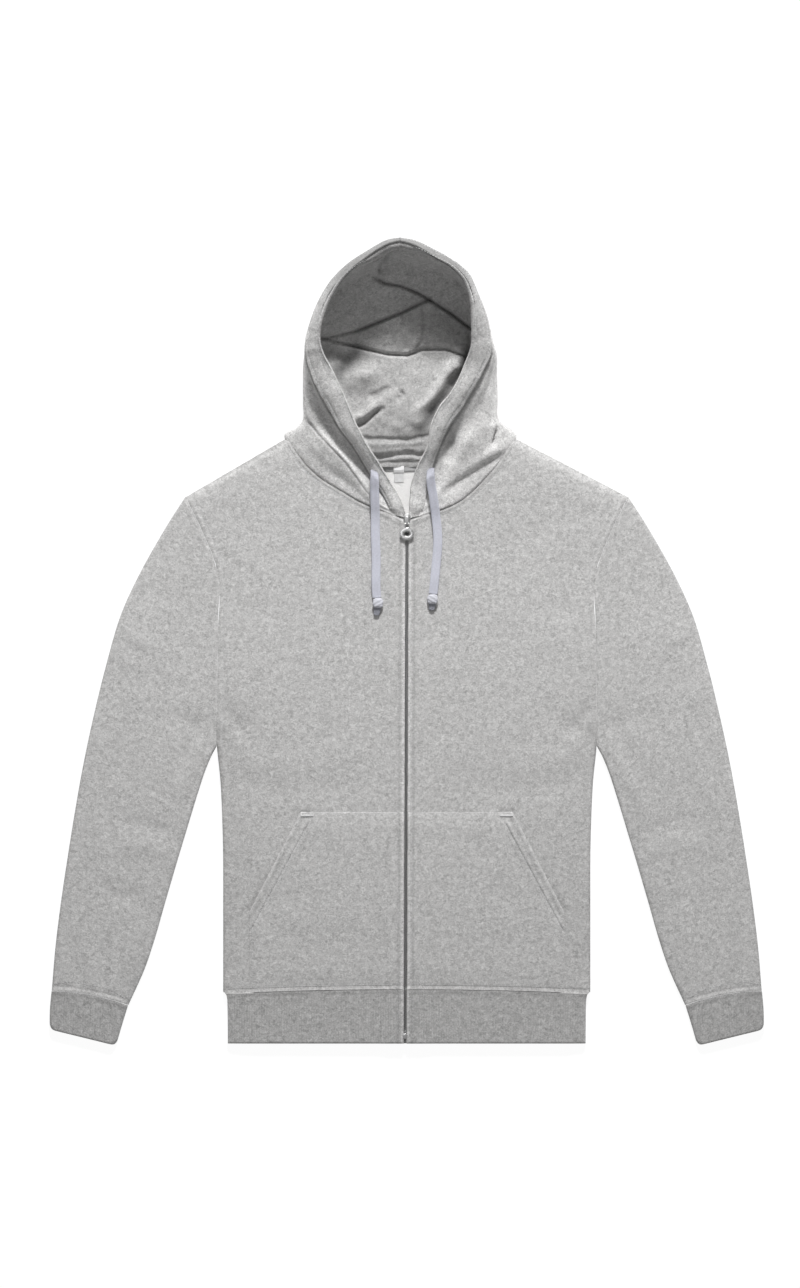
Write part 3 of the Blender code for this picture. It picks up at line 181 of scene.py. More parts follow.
# Painted shade on the hood's cloth: points, how much, half width
HOOD_SHADES = {LEFT: (
    (((-121, 258), (-100, 234), (-74, 207), (-54, 180), (-42, 166)), -0.42, 3),
    (((-106, 232), (-82, 204), (-60, 177)), -0.14, 6), (((-104, 264), (-116, 254), (-128, 243)), -0.24, 6),
), RIGHT: (
    (((72, 256), (90, 246), (104, 252)), -0.12, 9), (((108, 217), (88, 200), (62, 180)), -0.3, 5.5),
    (((102, 263), (116, 252), (127, 240)), -0.28, 6.5),
)}

# Hood lining: height of its floor at each y
LINING_FLOOR = (
    (200, 4.6), (206, 5.4), (210, 6.6), (216, 8.2), (226, 10.6), (240, 13.4), (258, 15.6), (284, 15), (307, 12.5),
    (335, 9), (350, 11), (377, 20), (400, 27), (424, 35), (440, 41), (456, 50), (470, 60),
)
LINING_SIDE_RISE = 12
LINING_HALF = 92
LINING_STEP = 1.15
# Overlapped folds: points, lip height, reach behind the lip; the higher side is to the left of the line
LINING_LIPS = (
    (((-108, 354), (-60, 365), (-7, 386), (26, 402)), 2.6, 40),
    (((-37, 426), (-25, 420), (-7, 417), (14, 409), (27, 401)), 3, 30), (((24, 403), (50, 387), (82, 363)), 4, 40),
    (((70, 332), (45, 341), (18, 341), (2, 334), (-22, 335), (-52, 342), (-100, 354)), 0.5, 12),
)
# Creases and ridges: points, height (below nought for a crease), half width
LINING_LINES = (
    (((17, 388), (19, 368), (17, 352), (8, 337)), -2.2, 2), (((-19, 462), (-25, 445), (-34, 431)), -5, 2.2),
    (((-64, 250), (-52, 257), (-40, 266), (-30, 271)), -5, 2.6), (((-66, 259), (-50, 268), (-30, 280)), 4, 5),
    (((-78, 272), (-50, 290), (-28, 306)), -4.5, 11), (((-84, 300), (-60, 312), (-30, 318)), 2.6, 9),
    (((-48, 284), (-30, 290), (-16, 300)), -3, 4), (((-10, 296), (-4, 288), (-12, 281)), -3, 3),
    (((66, 336), (46, 308), (28, 284), (12, 264)), 6, 7.5), (((80, 352), (72, 326), (58, 303)), -14, 7.5),
    (((62, 308), (46, 286), (30, 262), (20, 248)), -7, 9), (((-102, 346), (-84, 334), (-60, 328)), -3, 8),
    (((34, 300), (20, 286), (8, 276)), -1.6, 5), (((-56, 238), (-12, 237), (30, 242)), -1.9, 2.8),
    (((-54, 232), (-12, 231), (30, 236)), 0.8, 3.2), (((-50, 219), (-30, 217), (-8, 218.5), (24, 221)), -1.7, 2.6),
    (((-50, 226), (-20, 224), (4, 226), (26, 229)), 0.9, 3.4), (((-46, 210.5), (-8, 210), (22, 212)), -1, 2),
    (((-46, 214.5), (-8, 214), (22, 216)), 0.4, 2.4),
)
# Painted shade on the lining: points, how much, half width
LINING_SHADES = (
    (((-42, 358), (-72, 325), (-98, 294)), -0.72, 12), (((-124, 340), (-92, 334), (-60, 340)), -0.2, 8),
    (((-20, 454), (-27, 436)), -0.22, 4.5), (((-60, 364), (-7, 385), (26, 401), (52, 384), (84, 360)), -0.3, 2.6),
    (((-37, 425), (-25, 419), (-7, 416), (26, 401)), -0.3, 2.4),
    (((10, 394), (48, 376), (72, 356), (96, 330)), -0.36, 20), (((-60, 372), (0, 370), (50, 362)), -0.12, 18),
    (((88, 344), (56, 300), (40, 280), (26, 262), (8, 238)), -0.36, 9),
    (((-72, 262), (-50, 268), (-30, 276)), -0.1, 9),
)

# Labels: left, right, lower and upper edge
LABEL = (-15.5, -3.2, 198.6, 206.2)
SIZE_LABEL = (-14.9, -3.6, 187, 198.4)
TAPE_HALF = 60
TAPE_WIDE = 6.4

# Zip
CHAIN_TOP_Y = 141
CHAIN_BOTTOM_Y = -463.4
TOOTH_PITCH = 2.6
PIVOT = (0.3, 139.1, 11.7)
TAB_CENTRE_Y = 126.9
TAB_RADIUS = (8.2, 7.5)
TAB_HOLE = (3.85, 2.4)
TAB_THICK = 1.5

# Drawcords from the casing to the knot, the middle of each knot and its tail
CORD_WIDE = 10.5
CORD_THICK = 3.2
CORDS = {LEFT: (
    (-38, 203, 20.8), (-37.7, 196, 20.6), (-37.5, 188, 19.2), (-37.4, 180, 17.2), (-37.3, 171, 15.4),
    (-37.2, 161, 13.4), (-37, 151, 11.4), (-36.8, 140, 10.4), (-36.5, 127, 10), (-36.2, 112, 9.9), (-36, 96, 9.9),
    (-35.9, 80, 9.9), (-35.7, 65, 9.9), (-35, 52.5, 9.9),
), RIGHT: (
    (28, 204, 20.8), (28, 197, 20.4), (28.1, 190, 19), (29, 181, 17), (30.6, 171, 15.2), (32.3, 160, 13.2),
    (33.8, 150, 11.4), (35.1, 139, 10.4), (36, 126, 10), (35.9, 112, 9.9), (34.9, 96, 9.9), (33.4, 80, 9.9),
    (31.8, 67, 9.9), (30.6, 57, 9.9),
)}
KNOTS = {
    LEFT: ((-33.6, 46.2, 11.2), ((-33.9, 43.5, 10.6), (-34.6, 38, 10.1), (-35.6, 32, 9.7))),
    RIGHT: ((30.2, 50.7, 11.2), ((30, 48, 10.6), (29.6, 43, 10.1), (29, 38.2, 9.7))),
}

# Stitches
STITCH_PITCH = 3.6
STITCH_LENGTH = 2.8
THREAD_RADIUS = 0.32
TACK_RADIUS = 0.6

# Soft folds of the right front, mirrored for the left with its own share: points, height, half width
FRONT_FOLDS = (
    (((221, -70), (205, -88), (186, -118)), -1.3, 9), (((222, -112), (200, -104), (170, -84)), -1.1, 9),
    (((216, -96), (196, -112), (176, -150)), 0.9, 10), (((210, -160), (150, -172), (60, -168)), -0.5, 12),
    (((200, -135), (140, -140), (40, -128)), 0.5, 14), (((216, 60), (190, 40), (150, 36)), -0.5, 12),
    (((206, 120), (176, 96), (150, 60)), 0.5, 14), (((240, 150), (200, 152), (160, 150)), -0.5, 12),
    (((205, -330), (196, -280), (202, -230)), -0.6, 11),
)
# Soft folds of the right sleeve, the same way
SLEEVE_FOLDS = (
    (((228, -76), (240, -96), (262, -150)), -1.3, 9), (((226, -112), (252, -92), (290, -84)), -1, 9),
    (((232, -116), (250, -140), (272, -190)), 1, 8), (((332, 20), (318, 4), (300, -4)), 0.9, 6),
    (((340, 4), (322, -10), (296, -16)), -0.5, 8), (((352, -30), (330, -40), (296, -38)), -0.5, 9),
    (((268, -232), (300, -214), (340, -210)), -0.9, 9), (((272, -252), (304, -238), (350, -240)), 0.7, 9),
    (((292, -320), (320, -300), (356, -296)), -0.7, 10), (((340, -414), (344, -392), (342, -366)), 0.8, 5),
    (((354, -412), (358, -384), (356, -352)), -0.8, 5), (((368, -410), (370, -386), (372, -360)), 0.8, 5),
    (((382, -408), (384, -380), (384, -348)), -0.8, 5.5), (((396, -406), (398, -388), (398, -364)), 0.7, 5),
)


def ease(value):
    """A smooth rise from 0 to 1."""
    value = np.clip(value, 0, 1)
    return value * value * (3 - 2 * value)


def fall(value):
    return 1 - ease(value)


def dome(distance, reach):
    """From 0 at an edge to 1 at reach, as a quarter circle."""
    q = np.clip(distance / reach, 0, 1)
    return np.sqrt(1 - (1 - q) ** 2)


def dip(distance, half):
    return np.exp(-(distance / half) ** 2)


def even_shares(count, ends):
    """Shares from 0 to 1 that crowd together towards both ends."""
    t = np.linspace(0, 1, count)
    return t - ends * np.sin(2 * math.pi * t) / (2 * math.pi)


def turns(count):
    return np.linspace(0, 2 * math.pi, count, endpoint=False)


def unit(vectors):
    return vectors / np.maximum(np.linalg.norm(vectors, axis=-1, keepdims=True), 1e-9)


def mirrored(points, side):
    return [(side * x, y) for x, y in points]


def read_curve(rows, places):
    """A Catmull-Rom curve through the rows, read at fractional row numbers."""
    rows = np.array(rows, float)
    padded = np.concatenate([2 * rows[:1] - rows[1:2], rows, 2 * rows[-1:] - rows[-2:-1]])
    index = np.clip(places.astype(int), 0, len(rows) - 2)
    t = (places - index).reshape((-1,) + (1,) * (rows.ndim - 1))
    a, b, c, d = (padded[index + k] for k in range(4))
    return 0.5 * (2 * b + (c - a) * t + (2 * a - 5 * b + 4 * c - d) * t ** 2
                  + (3 * b - a - 3 * c + d) * t ** 3)


def spline(rows, count):
    return read_curve(rows, np.linspace(0, len(rows) - 1, count))


def run_along(points):
    """The length from the first point to each point of a line."""
    return np.append(0, np.cumsum(np.linalg.norm(np.diff(points, axis=0), axis=1)))


def along(points, shares):
    """Points at the given shares of a polyline's length."""
    points = np.array(points, float)
    run = run_along(points)
    return np.column_stack([np.interp(shares, run / run[-1], column) for column in points.T])


def away_from(x, y, line, signed=False):
    """Distance in plan to a polyline, and which side of it a point is on: 1 is to its left."""
    best = np.full(np.shape(x), 1e9)
    side = np.ones(np.shape(x))
    for (x0, y0), (x1, y1) in zip(line[:-1], line[1:]):
        dx, dy = x1 - x0, y1 - y0
        share = np.clip(((x - x0) * dx + (y - y0) * dy) / (dx * dx + dy * dy), 0, 1)
        away = np.hypot(x - x0 - share * dx, y - y0 - share * dy)
        side = np.where(away < best, np.sign(dx * (y - y0) - dy * (x - x0)), side)
        best = np.minimum(best, away)
    return (best, side) if signed else best


def end_distance(x, y, line):
    return np.minimum(*(np.hypot(x - px, y - py) for px, py in (line[0], line[-1])))


def noise(x, y, size, seed):
    """Smooth noise from -1 to 1 with bumps of about the given size."""
    u, v = x / size, y / size
    i, j = np.floor(u), np.floor(v)
    f, g = ease(u - i), ease(v - j)

    def corner(a, b):
        value = np.sin((i + a) * 127.1 + (j + b) * 311.7 + seed * 74.7) * 43758.5453
        return (value - np.floor(value)) * 2 - 1
    low = corner(0, 0) * (1 - f) + corner(1, 0) * f
    high = corner(0, 1) * (1 - f) + corner(1, 1) * f
    return low * (1 - g) + high * g


def unevenness(x, y, seed, much=1):
    """The cloth's own unevenness, which is never quite flat."""
    wave = 0.42 * noise(x, y, 62, seed) + 0.22 * noise(x + 17, y, 27, seed + 1)
    return much * (wave + 0.1 * noise(x, y + 9, 11, seed + 2))


def folds(x, y, table, side=RIGHT):
    """Ridges and creases along lines, weaker at their ends."""
    height = np.zeros(np.shape(x))
    for points, high, half in table:
        line = mirrored(points, side)
        much = 0.35 + 0.65 * ease(end_distance(x, y, line) / (2.5 * half))
        height += high * dip(away_from(x, y, line), half) * much
    return height


def quads(rows, columns, wrap=False):
    i, j = np.meshgrid(np.arange(rows - 1), np.arange(columns if wrap else columns - 1), indexing="ij")
    k = (j + 1) % columns
    faces = np.stack([i * columns + j, i * columns + k, (i + 1) * columns + k, (i + 1) * columns + j], -1)
    return faces.reshape(-1, 4)


def close_shell(faces, count):
    """Faces of the outer skin, of the inner skin turned over, and of the edges between them."""
    pairs = np.concatenate([faces[:, [k, (k + 1) % 4]] for k in range(4)])
    rim = pairs[~np.isin(pairs @ (count, 1), pairs @ (1, count))]
    sides = np.stack([rim[:, 1], rim[:, 0], rim[:, 0] + count, rim[:, 1] + count], -1)
    return np.concatenate([faces, faces[:, ::-1] + count, sides]).tolist()


def tube_faces(rows, columns):
    """The faces round a closed tube of loops, with a cap at each end."""
    first, last = list(range(columns)), list(range((rows - 1) * columns, rows * columns))
    return quads(rows, columns, wrap=True).tolist() + [first[::-1], last]


def outward(points, faces):
    """The faces, turned over if they face inwards."""
    corners = np.array([(face[0], b, c) for face in faces for b, c in zip(face[1:-1], face[2:])])
    a, b, c = np.asarray(points)[corners.T]
    return faces if np.einsum("ij,ij->", a, np.cross(b, c)) > 0 else [face[::-1] for face in faces]


def grid_normals(grid, wrap=False):
    """Unit normals of a grid of points."""
    across = (np.roll(grid, -1, 1) - np.roll(grid, 1, 1)) / 2 if wrap else np.gradient(grid, axis=1)
    return unit(np.cross(np.gradient(grid, axis=0), across))


def grid_uv(grid):
    """Cloth coordinates from the grid's own mean lengths, across and down."""
    across = np.linalg.norm(np.diff(grid, axis=1), axis=2).mean(axis=0)
    down = np.linalg.norm(np.diff(grid, axis=0), axis=2).mean(axis=1)
    return np.stack(np.meshgrid(np.append(0, np.cumsum(across)), np.append(0, np.cumsum(down))), -1)


def add_piece(name, points, faces, spec, node=None, body="garment", uv=None, smooth=True, shade=1.0):
    """One piece of the scene, from millimetre points, riding on its body and standing for its CAD node."""
    material, slot = spec
    mesh = bpy.data.meshes.new(name)
    mesh.from_pydata((np.asarray(points, float) * MM).tolist(), [], outward(points, faces))
    mesh.materials.append(material)
    if smooth:
        mesh.shade_smooth()
        mesh.set_sharp_from_angle(angle=math.radians(60))
    if uv is not None:
        layer = mesh.uv_layers.new(name="cloth")
        loops = np.empty(len(mesh.loops), int)
        mesh.loops.foreach_get("vertex_index", loops)
        layer.data.foreach_set("uv", (np.asarray(uv, float)[loops] * MM).ravel())
    # The shade attribute carries the light and shade painted into each piece's colour.
    painted_shade = mesh.attributes.new("shade", "FLOAT", "POINT")
    painted_shade.data.foreach_set("value", np.ones(len(points)) * np.ravel(shade))
    made = bpy.data.objects.new(name, mesh)
    bpy.context.collection.objects.link(made)
    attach(made, body)
    if node:
        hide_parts(node)
    return made


def add_cloth(name, outer, inner, spec, uv, wrap=False, keep=True, shade=1.0):
    """A closed thin shell between two grids of points. Its name is its CAD node's and one word more."""
    size = outer.shape[:2]
    faces = quads(*size, wrap)
    faces = faces[np.broadcast_to(keep, size).ravel()[faces].all(axis=1)]
    used, faces = np.unique(faces, return_inverse=True)

    def skins(first, second):
        return np.concatenate([grid.reshape(size[0] * size[1], -1)[used] for grid in (first, second)])
    shade = np.broadcast_to(shade, size)
    return add_piece(name, skins(outer, inner), close_shell(faces.reshape(-1, 4), len(used)), spec,
                     name.rpartition("_")[0], uv=skins(uv, uv), shade=skins(shade, shade))


def add_layer(name, x, y, high, low, spec, uv=None, **more):
    """A thin shell between two heights over one plan."""
    uv = np.dstack([x, y]) if uv is None else uv
    return add_cloth(name, np.dstack([x, y, high]), np.dstack([x, y, low]), spec, uv, **more)


# Outlines shared with the solids


def zip_x(y):
    return ZIP_X_BOTTOM + (ZIP_X_TOP - ZIP_X_BOTTOM) * (y - HEM_BOTTOM_Y) / (ZIP_TOP_Y - HEM_BOTTOM_Y)


def from_zip(x, y):
    return np.abs(x - zip_x(y))


def zip_wave(x, y, side):
    """The turned edges along the zip aren't quite straight."""
    wave = 0.45 * noise(side * 5, y, 9, 61) + 0.2 * noise(side * 5, y, 3.6, 62)
    return wave * fall(from_zip(x, y) / 30)


def hem_seam_y(x):
    return HEM_SEAM_Y - HEM_SEAM_DROP * (x / HALF_WIDTH) ** 2


def neckline(side):
    return spline([row[6:8] for row in HOOD_SIDE[side][:NECK_STATIONS]], 2 * NECK_STATIONS - 1)


def neck_curve(side):
    return read_curve(neckline(side), np.linspace(0, 2 * NECK_STATIONS - 2, 60))


def armhole_curve(side):
    return spline(ARMHOLE, 60) * (side, 1)


def shoulder_point(side):
    return HOOD_SIDE[side][NECK_STATIONS - 1][6:8]


def shoulder_line(side):
    return [shoulder_point(side), (side * ARMHOLE[-1][0], ARMHOLE[-1][1])]


def side_seam(side):
    return mirrored(SIDE + ARMHOLE[:1], side)


def seam_distance(x, y):
    """Distance to the nearest of the side and shoulder seams."""
    lines = [line(side) for side in (LEFT, RIGHT) for line in (side_seam, shoulder_line)]
    return np.min([away_from(x, y, line) for line in lines], axis=0)


def back_neck_y(x, end_x):
    return BACK_NECK_Y + BACK_NECK_RISE * np.abs((x - HOOD_X) / (end_x - HOOD_X)) ** BACK_NECK_POWER


def neck_edge_y(x):
    return back_neck_y(x, np.where(x < HOOD_X, shoulder_point(LEFT)[0], shoulder_point(RIGHT)[0]))


def puffed(share):
    """Room between two layers, from their shared edge at 0 to their middle at 1."""
    return EDGE_GAP + (MID_GAP - EDGE_GAP) * ease(share)


def layer_gap(x, y):
    """Room between a front and the back."""
    near_zip = fall((from_zip(x, y) - ZIP_FLAT) / ZIP_SLOPE)
    return puffed(seam_distance(x, y) / PUFF_REACH) + (ZIP_GAP - MID_GAP) * near_zip


def outer_boundary():
    """The body's right edge in plan, from the hem to the shoulder."""
    curve = spline(ARMHOLE, 4 * len(ARMHOLE))
    low = along(curve, np.linspace(0, NECK_START, 7)[:-1])
    return np.vstack([SIDE, low, along(curve, np.linspace(NECK_START, 1, 2 * NECK_STATIONS - 1))])


def front_plan(side, rows, columns):
    """A dense plan of one front: rows from hem to shoulder, columns from the zip to the side."""
    outer = outer_boundary() * (side, 1)
    neck = neckline(side)
    lower = len(outer) - len(neck)
    zip_y = np.interp(np.arange(lower), (0, len(SIDE), lower - 1), (HEM_SEAM_Y, ARMHOLE[0][1], LAST_ZIP_ROW_Y))
    inner = np.column_stack([zip_x(zip_y) + side * ZIP_LIP, zip_y])
    neck = np.vstack([(zip_x(ZIP_TOP_Y) + side * ZIP_LIP, ZIP_TOP_Y), neck[1:]])
    run = run_along(outer) + run_along(np.vstack([inner, neck]))
    marks = np.concatenate([np.linspace(0, 24, 17)[:-1], np.linspace(24, run[-1], rows - 16)])
    places = np.interp(marks, run, np.arange(len(run)))
    places[np.argmin(np.abs(places - lower))] = lower
    straight = np.column_stack([np.interp(places, np.arange(lower + 1), np.append(inner[:, k], neck[0, k]))
                                for k in (0, 1)])
    curved = read_curve(neck, np.clip(places - lower, 0, len(neck) - 1))
    inside = np.where((places <= lower)[:, None], straight, curved)
    shares = even_shares(columns, 0.75)[:, None]
    plan = inside[:, None] * (1 - shares) + read_curve(outer, places)[:, None] * shares
    plan[..., 1] += ease(1 - places / 2)[:, None] * (hem_seam_y(plan[..., 0]) - plan[:1, :, 1])
    plan[..., 0] *= 1 - 0.013 * np.exp(-(plan[..., 1] - hem_seam_y(plan[..., 0])) / 3)
    plan[..., 0] += zip_wave(plan[..., 0], plan[..., 1], side)
    return plan[..., 0], plan[..., 1]


def seam_roll(x, hem):
    """Cloth gathered into the hem seam: a roll above it, uneven along its length."""
    much = 1 + 0.4 * noise(x, 0, 24, 51)
    return 0.5 * much * dip(hem + 0.3, 2.1) - 0.25 * dip(hem - 5.2, 1.6)


def zip_relief(x, y):
    """The turned edge along the zip and its row of topstitching."""
    edge = from_zip(x, y) - ZIP_HALF
    return 0.6 * dip(edge - 1.4, 2) - 0.8 * dip(edge - 5.2, 1.2) + 0.3 * dip(edge - 8, 1.8)


def ring_hole_shadow(x, y):
    """The painted shadow under the puller's ring, on what it lies on."""
    return 0.72 * dip(np.hypot(x - PIVOT[0], 1.5 * (y - TAB_CENTRE_Y)), 4.4)


def painted_shading(x, y):
    """Painted light and shade: the fold along the zip painted lighter as a highlight, its stitched groove painted
    darker as shade, a painted light line with painted shade beside it along the hem seam, and the painted shadow under
    the puller's ring.
    """
    zip_edge = from_zip(x, y) - ZIP_HALF
    hem = y - hem_seam_y(x) + 1.3 * noise(x, 0, 26, 63)
    shade = 1 + 0.26 * dip(zip_edge - 0.2, 1.5) - 0.18 * dip(zip_edge - 5.2, 1.2)
    shade += 0.24 * dip(hem + 1.3, 1.4) - 0.05 * dip(hem - 4.8, 1.5) - 0.04 * dip(hem + 4.2, 1.3)
    return shade - ring_hole_shadow(x, y)


def front_height(x, y, side):
    """Height of a front's upper skin."""
    height = 2 * WALL + layer_gap(x, y) + unevenness(x * side, y, 3 + side) + folds(x, y, FRONT_FOLDS, side)
    height += zip_relief(x, y) - 1.8 * dip(away_from(x - 0.8 * side, y, mirrored(POCKET_SLANT, side)), 1.9)
    neck = away_from(x, y, neck_curve(side))
    arm = away_from(x, y, armhole_curve(side))
    clear = ease((from_zip(x, y) - 14) / 20)
    height += 0.45 * dip(neck - 3.4, 2.2) - (0.25 * dip(neck - 6.4, 1.3) + 1.2 * dip(neck, 0.9)) * clear
    top_edge = away_from(x, y, [(zip_x(ZIP_TOP_Y), ZIP_TOP_Y), neckline(side)[0]])
    height += (0.5 * dip(top_edge - 5, 3) - 0.25 * dip(top_edge - 9.5, 2)) * (1 - clear)
    height -= 0.9 * (1 - dome(top_edge, 5)) * (1 - clear)
    height += 0.45 * dip(arm - 3.6, 2.4) - 0.25 * dip(arm - 6.6, 1.4) - 0.2 * dip(arm, 1.2)
    return (height + seam_roll(x, np.abs(y - hem_seam_y(x)))
            - 0.9 * dip(away_from(x, y, shoulder_line(side)) - 3, 2.2))


def make_fronts():
    for side, word in SIDES:
        x, y = front_plan(side, 200, 84)
        seam, shoulder = away_from(x, y, side_seam(side)), away_from(x, y, shoulder_line(side))
        top = MIDDLE + (front_height(x, y, side) - MIDDLE) * dome(seam, 5.5) * dome(shoulder, 5)
        round_edge = 1 - dome(from_zip(x, y) - ZIP_LIP, 1.5)
        high = top - 1.3 * round_edge
        low = np.minimum(np.maximum(top - WALL + 0.3 * round_edge, WALL + 0.15), high - 0.05)
        neck = away_from(x, y, [(zip_x(ZIP_TOP_Y), ZIP_TOP_Y), *neck_curve(side)])
        out = np.abs(x)
        # Painted shade: dark outlines along the side and shoulder seams and the neckline, a painted shadow above the
        # pocket's corner and outside its slanted edge, darker shoulders, armpits and lower sides, and a dark line
        # along the armhole.
        shade = (painted_shading(x, y) - 0.24 * dip(seam, 1.8) - 0.24 * dip(shoulder, 1.8)
                 - (0.16 + 0.26 * ease((from_zip(x, y) - 12) / 14)) * dip(neck - 0.3, 1.5)
                 - 0.34 * dip(away_from(out, y, [(111, -196.2), (122, -196.6)]), 1.3)
                 - 0.24 * dip(away_from(out, y, [(158, -261), (185.5, -314)]), 1.5)
                 - 0.06 * ease((y - 60) / 90) - 0.07 * dip(np.hypot(out - 214, y + 110), 46)
                 - 0.04 * ease((out - 150) / 40) * ease((-200 - y) / 80)
                 - 0.03 * dip(away_from(x, y, armhole_curve(side)), 1.5))
        piece = add_layer("front_" + word + "_cloth", x, y, high, low, FLEECE, shade=shade)


def make_back():
    """The back: its underside lies flat, its brushed inside shows in the neck opening."""
    outer = outer_boundary()
    tip = outer[-1]
    places = np.linspace(0, len(outer) - 1, 96)
    right = read_curve(outer, places)[:, None]
    shares = even_shares(90, 0.55)
    neck_x = np.linspace(shoulder_point(LEFT)[0], shoulder_point(RIGHT)[0], 41)
    upper = np.vstack([tip * (-1, 1), np.column_stack([neck_x, neck_edge_y(neck_x)]), tip])
    top_y = np.interp(tip[0] * (2 * shares - 1), upper[:, 0], upper[:, 1])
    plan = right * (-1, 1) * (1 - shares[:, None]) + right * shares[:, None]
    plan[..., 1] += ease((places - 6) / (len(outer) - 7))[:, None] ** 1.3 * (top_y - tip[1])
    plan[..., 1] += ease(1 - places / 2)[:, None] * (hem_seam_y(plan[..., 0]) - hem_seam_y(HALF_WIDTH))
    x, y = plan[..., 0], plan[..., 1]
    arm = np.minimum(*(away_from(x, y, armhole_curve(side)) for side in (LEFT, RIGHT)))
    under = MIDDLE * (1 - dome(seam_distance(x, y), 5.5)) + 0.8 * dip(arm, 1.6) + 0.8 * dip(y - hem_seam_y(x), 1.4)
    inside = np.maximum(WALL - 0.05 + 0.15 * noise(x, y, 9, 5), under + 0.1)
    piece = add_layer("back_cloth", x, y, under, inside, FLEECE)
    piece.data.materials.append(BRUSHED[0])
    count = len(piece.data.vertices) // 2
    for polygon in piece.data.polygons:
        if min(polygon.vertices) >= count:
            polygon.material_index = 1


def all_round(upper, lower=None):
    """Rows over a folded tube's upper layer and back under its lower one."""
    lower = upper if lower is None else lower
    return np.concatenate([upper, lower[:, -2:0:-1]], axis=1)


def across_sleeve(table, side, t):
    """Lines from a sleeve's outer to its inner edge: points, place on the line, distance to an edge, direction."""
    start, end = table[:, None, :2] * (side, 1), table[:, None, 2:] * (side, 1)
    wide = np.linalg.norm(end - start, axis=2)
    place = t * wide
    return start + (end - start) * t[:, None], place, np.minimum(place, wide - place), unit(end - start), wide


def cuff_bow(side, t, much):
    """The curve of the seam between sleeve and cuff."""
    return np.array([side * CUFF_BOW_TURN, 1]) * (CUFF_BOW * 4 * t * (1 - t) * much)[..., None]


def make_sleeves():
    marks = np.append(np.linspace(0, 0.96, 150)[:-1], np.linspace(0.96, 1, 31)) * (len(SLEEVE) - 1)
    table = read_curve(SLEEVE, marks)
    run = run_along((table[:, :2] + table[:, 2:]) / 2)
    to_end = (run[-1] - run)[:, None]
    t = even_shares(53, 0.8)
    bow = spline(ARMHOLE, 60)[::-1]
    on_arm = along(bow, t)
    bowed = on_arm - bow[0] - (bow[-1] - bow[0]) * t[:, None]
    for side, word in SIDES:
        line, _, edge, _, _ = across_sleeve(table, side, t)
        line += bowed * np.maximum(0, 1 - marks / BOW_STATIONS)[:, None, None] * (side, 1)
        line += cuff_bow(side, t, ease(marks - (len(SLEEVE) - 2))[:, None])
        x, y = line[..., 0], line[..., 1]
        from_arm = np.linalg.norm(line - on_arm * (side, 1), axis=2)
        gather = 1 + 0.5 * noise(x, 0, 13, 33)
        top = 2 * WALL + puffed(np.minimum(t, 1 - t) * 6) + unevenness(x * side, y, 9 + side, 1.2)
        top += folds(x, y, SLEEVE_FOLDS, side) + 0.4 * dip(from_arm - 3.6, 2.4) - 0.4 * dip(from_arm, 1.2)
        top += 0.45 * gather * dome(edge, 26) * dip(to_end - 1, 2.4) - 0.25 * dip(to_end - 5.4, 1.6)
        high = MIDDLE + (top - MIDDLE) * dome(edge, 5.4)
        sink = 0.9 * dip(from_arm, 1.6) + 0.9 * dip(to_end, 2.6)
        low = MIDDLE * (1 - dome(edge, 6)) + sink * dome(edge, 6)
        # Painted shade along the folded edges, the cuff seam, the armhole and towards the shoulder.
        shade = (1 - 0.24 * dip(edge, 1.8) - 0.06 * dip(to_end - 0.4, 1.7) - 0.06 * dip(to_end - 5.4, 1.5)
                 - 0.06 * dip(from_arm, 1.6) - 0.05 * ease((y - 20) / 110))
        outer = all_round(np.dstack([line, high]), np.dstack([line, low]))
        normals = grid_normals(outer, wrap=True)
        normals *= np.sign((normals * (outer - outer.mean(axis=1, keepdims=True))).sum())
        inner = outer - normals * 1.6
        inner[..., 2] = np.maximum(inner[..., 2], 1.4)
        grain = line @ np.array([[0.945, -side * 0.327], [side * 0.327, 0.945]])
        piece = add_cloth("sleeve_" + word + "_cloth", outer, inner, FLEECE_SLEEVE, all_round(grain), wrap=True,
                          shade=all_round(shade))


def ribbing(place, edge):
    """Rib wales 2.9 wide, flatter at the folded edges."""
    return 0.2 * ((0.5 + 0.5 * np.cos(2 * math.pi * place / 2.9)) ** 0.7 - 1) * dome(edge, 8)


def rib_under(middle, ribs, edge, seam, lip, part):
    """Outer and inner height of a rib band's lower layer."""
    low = middle * (1 - dome(edge, 5)) - ribs * 0.6 + 0.9 * seam + 0.9 * lip
    return low, np.maximum(np.minimum(middle - part * dome(edge, 5), low + 2.6 - 1.6 * lip), low + 0.05)


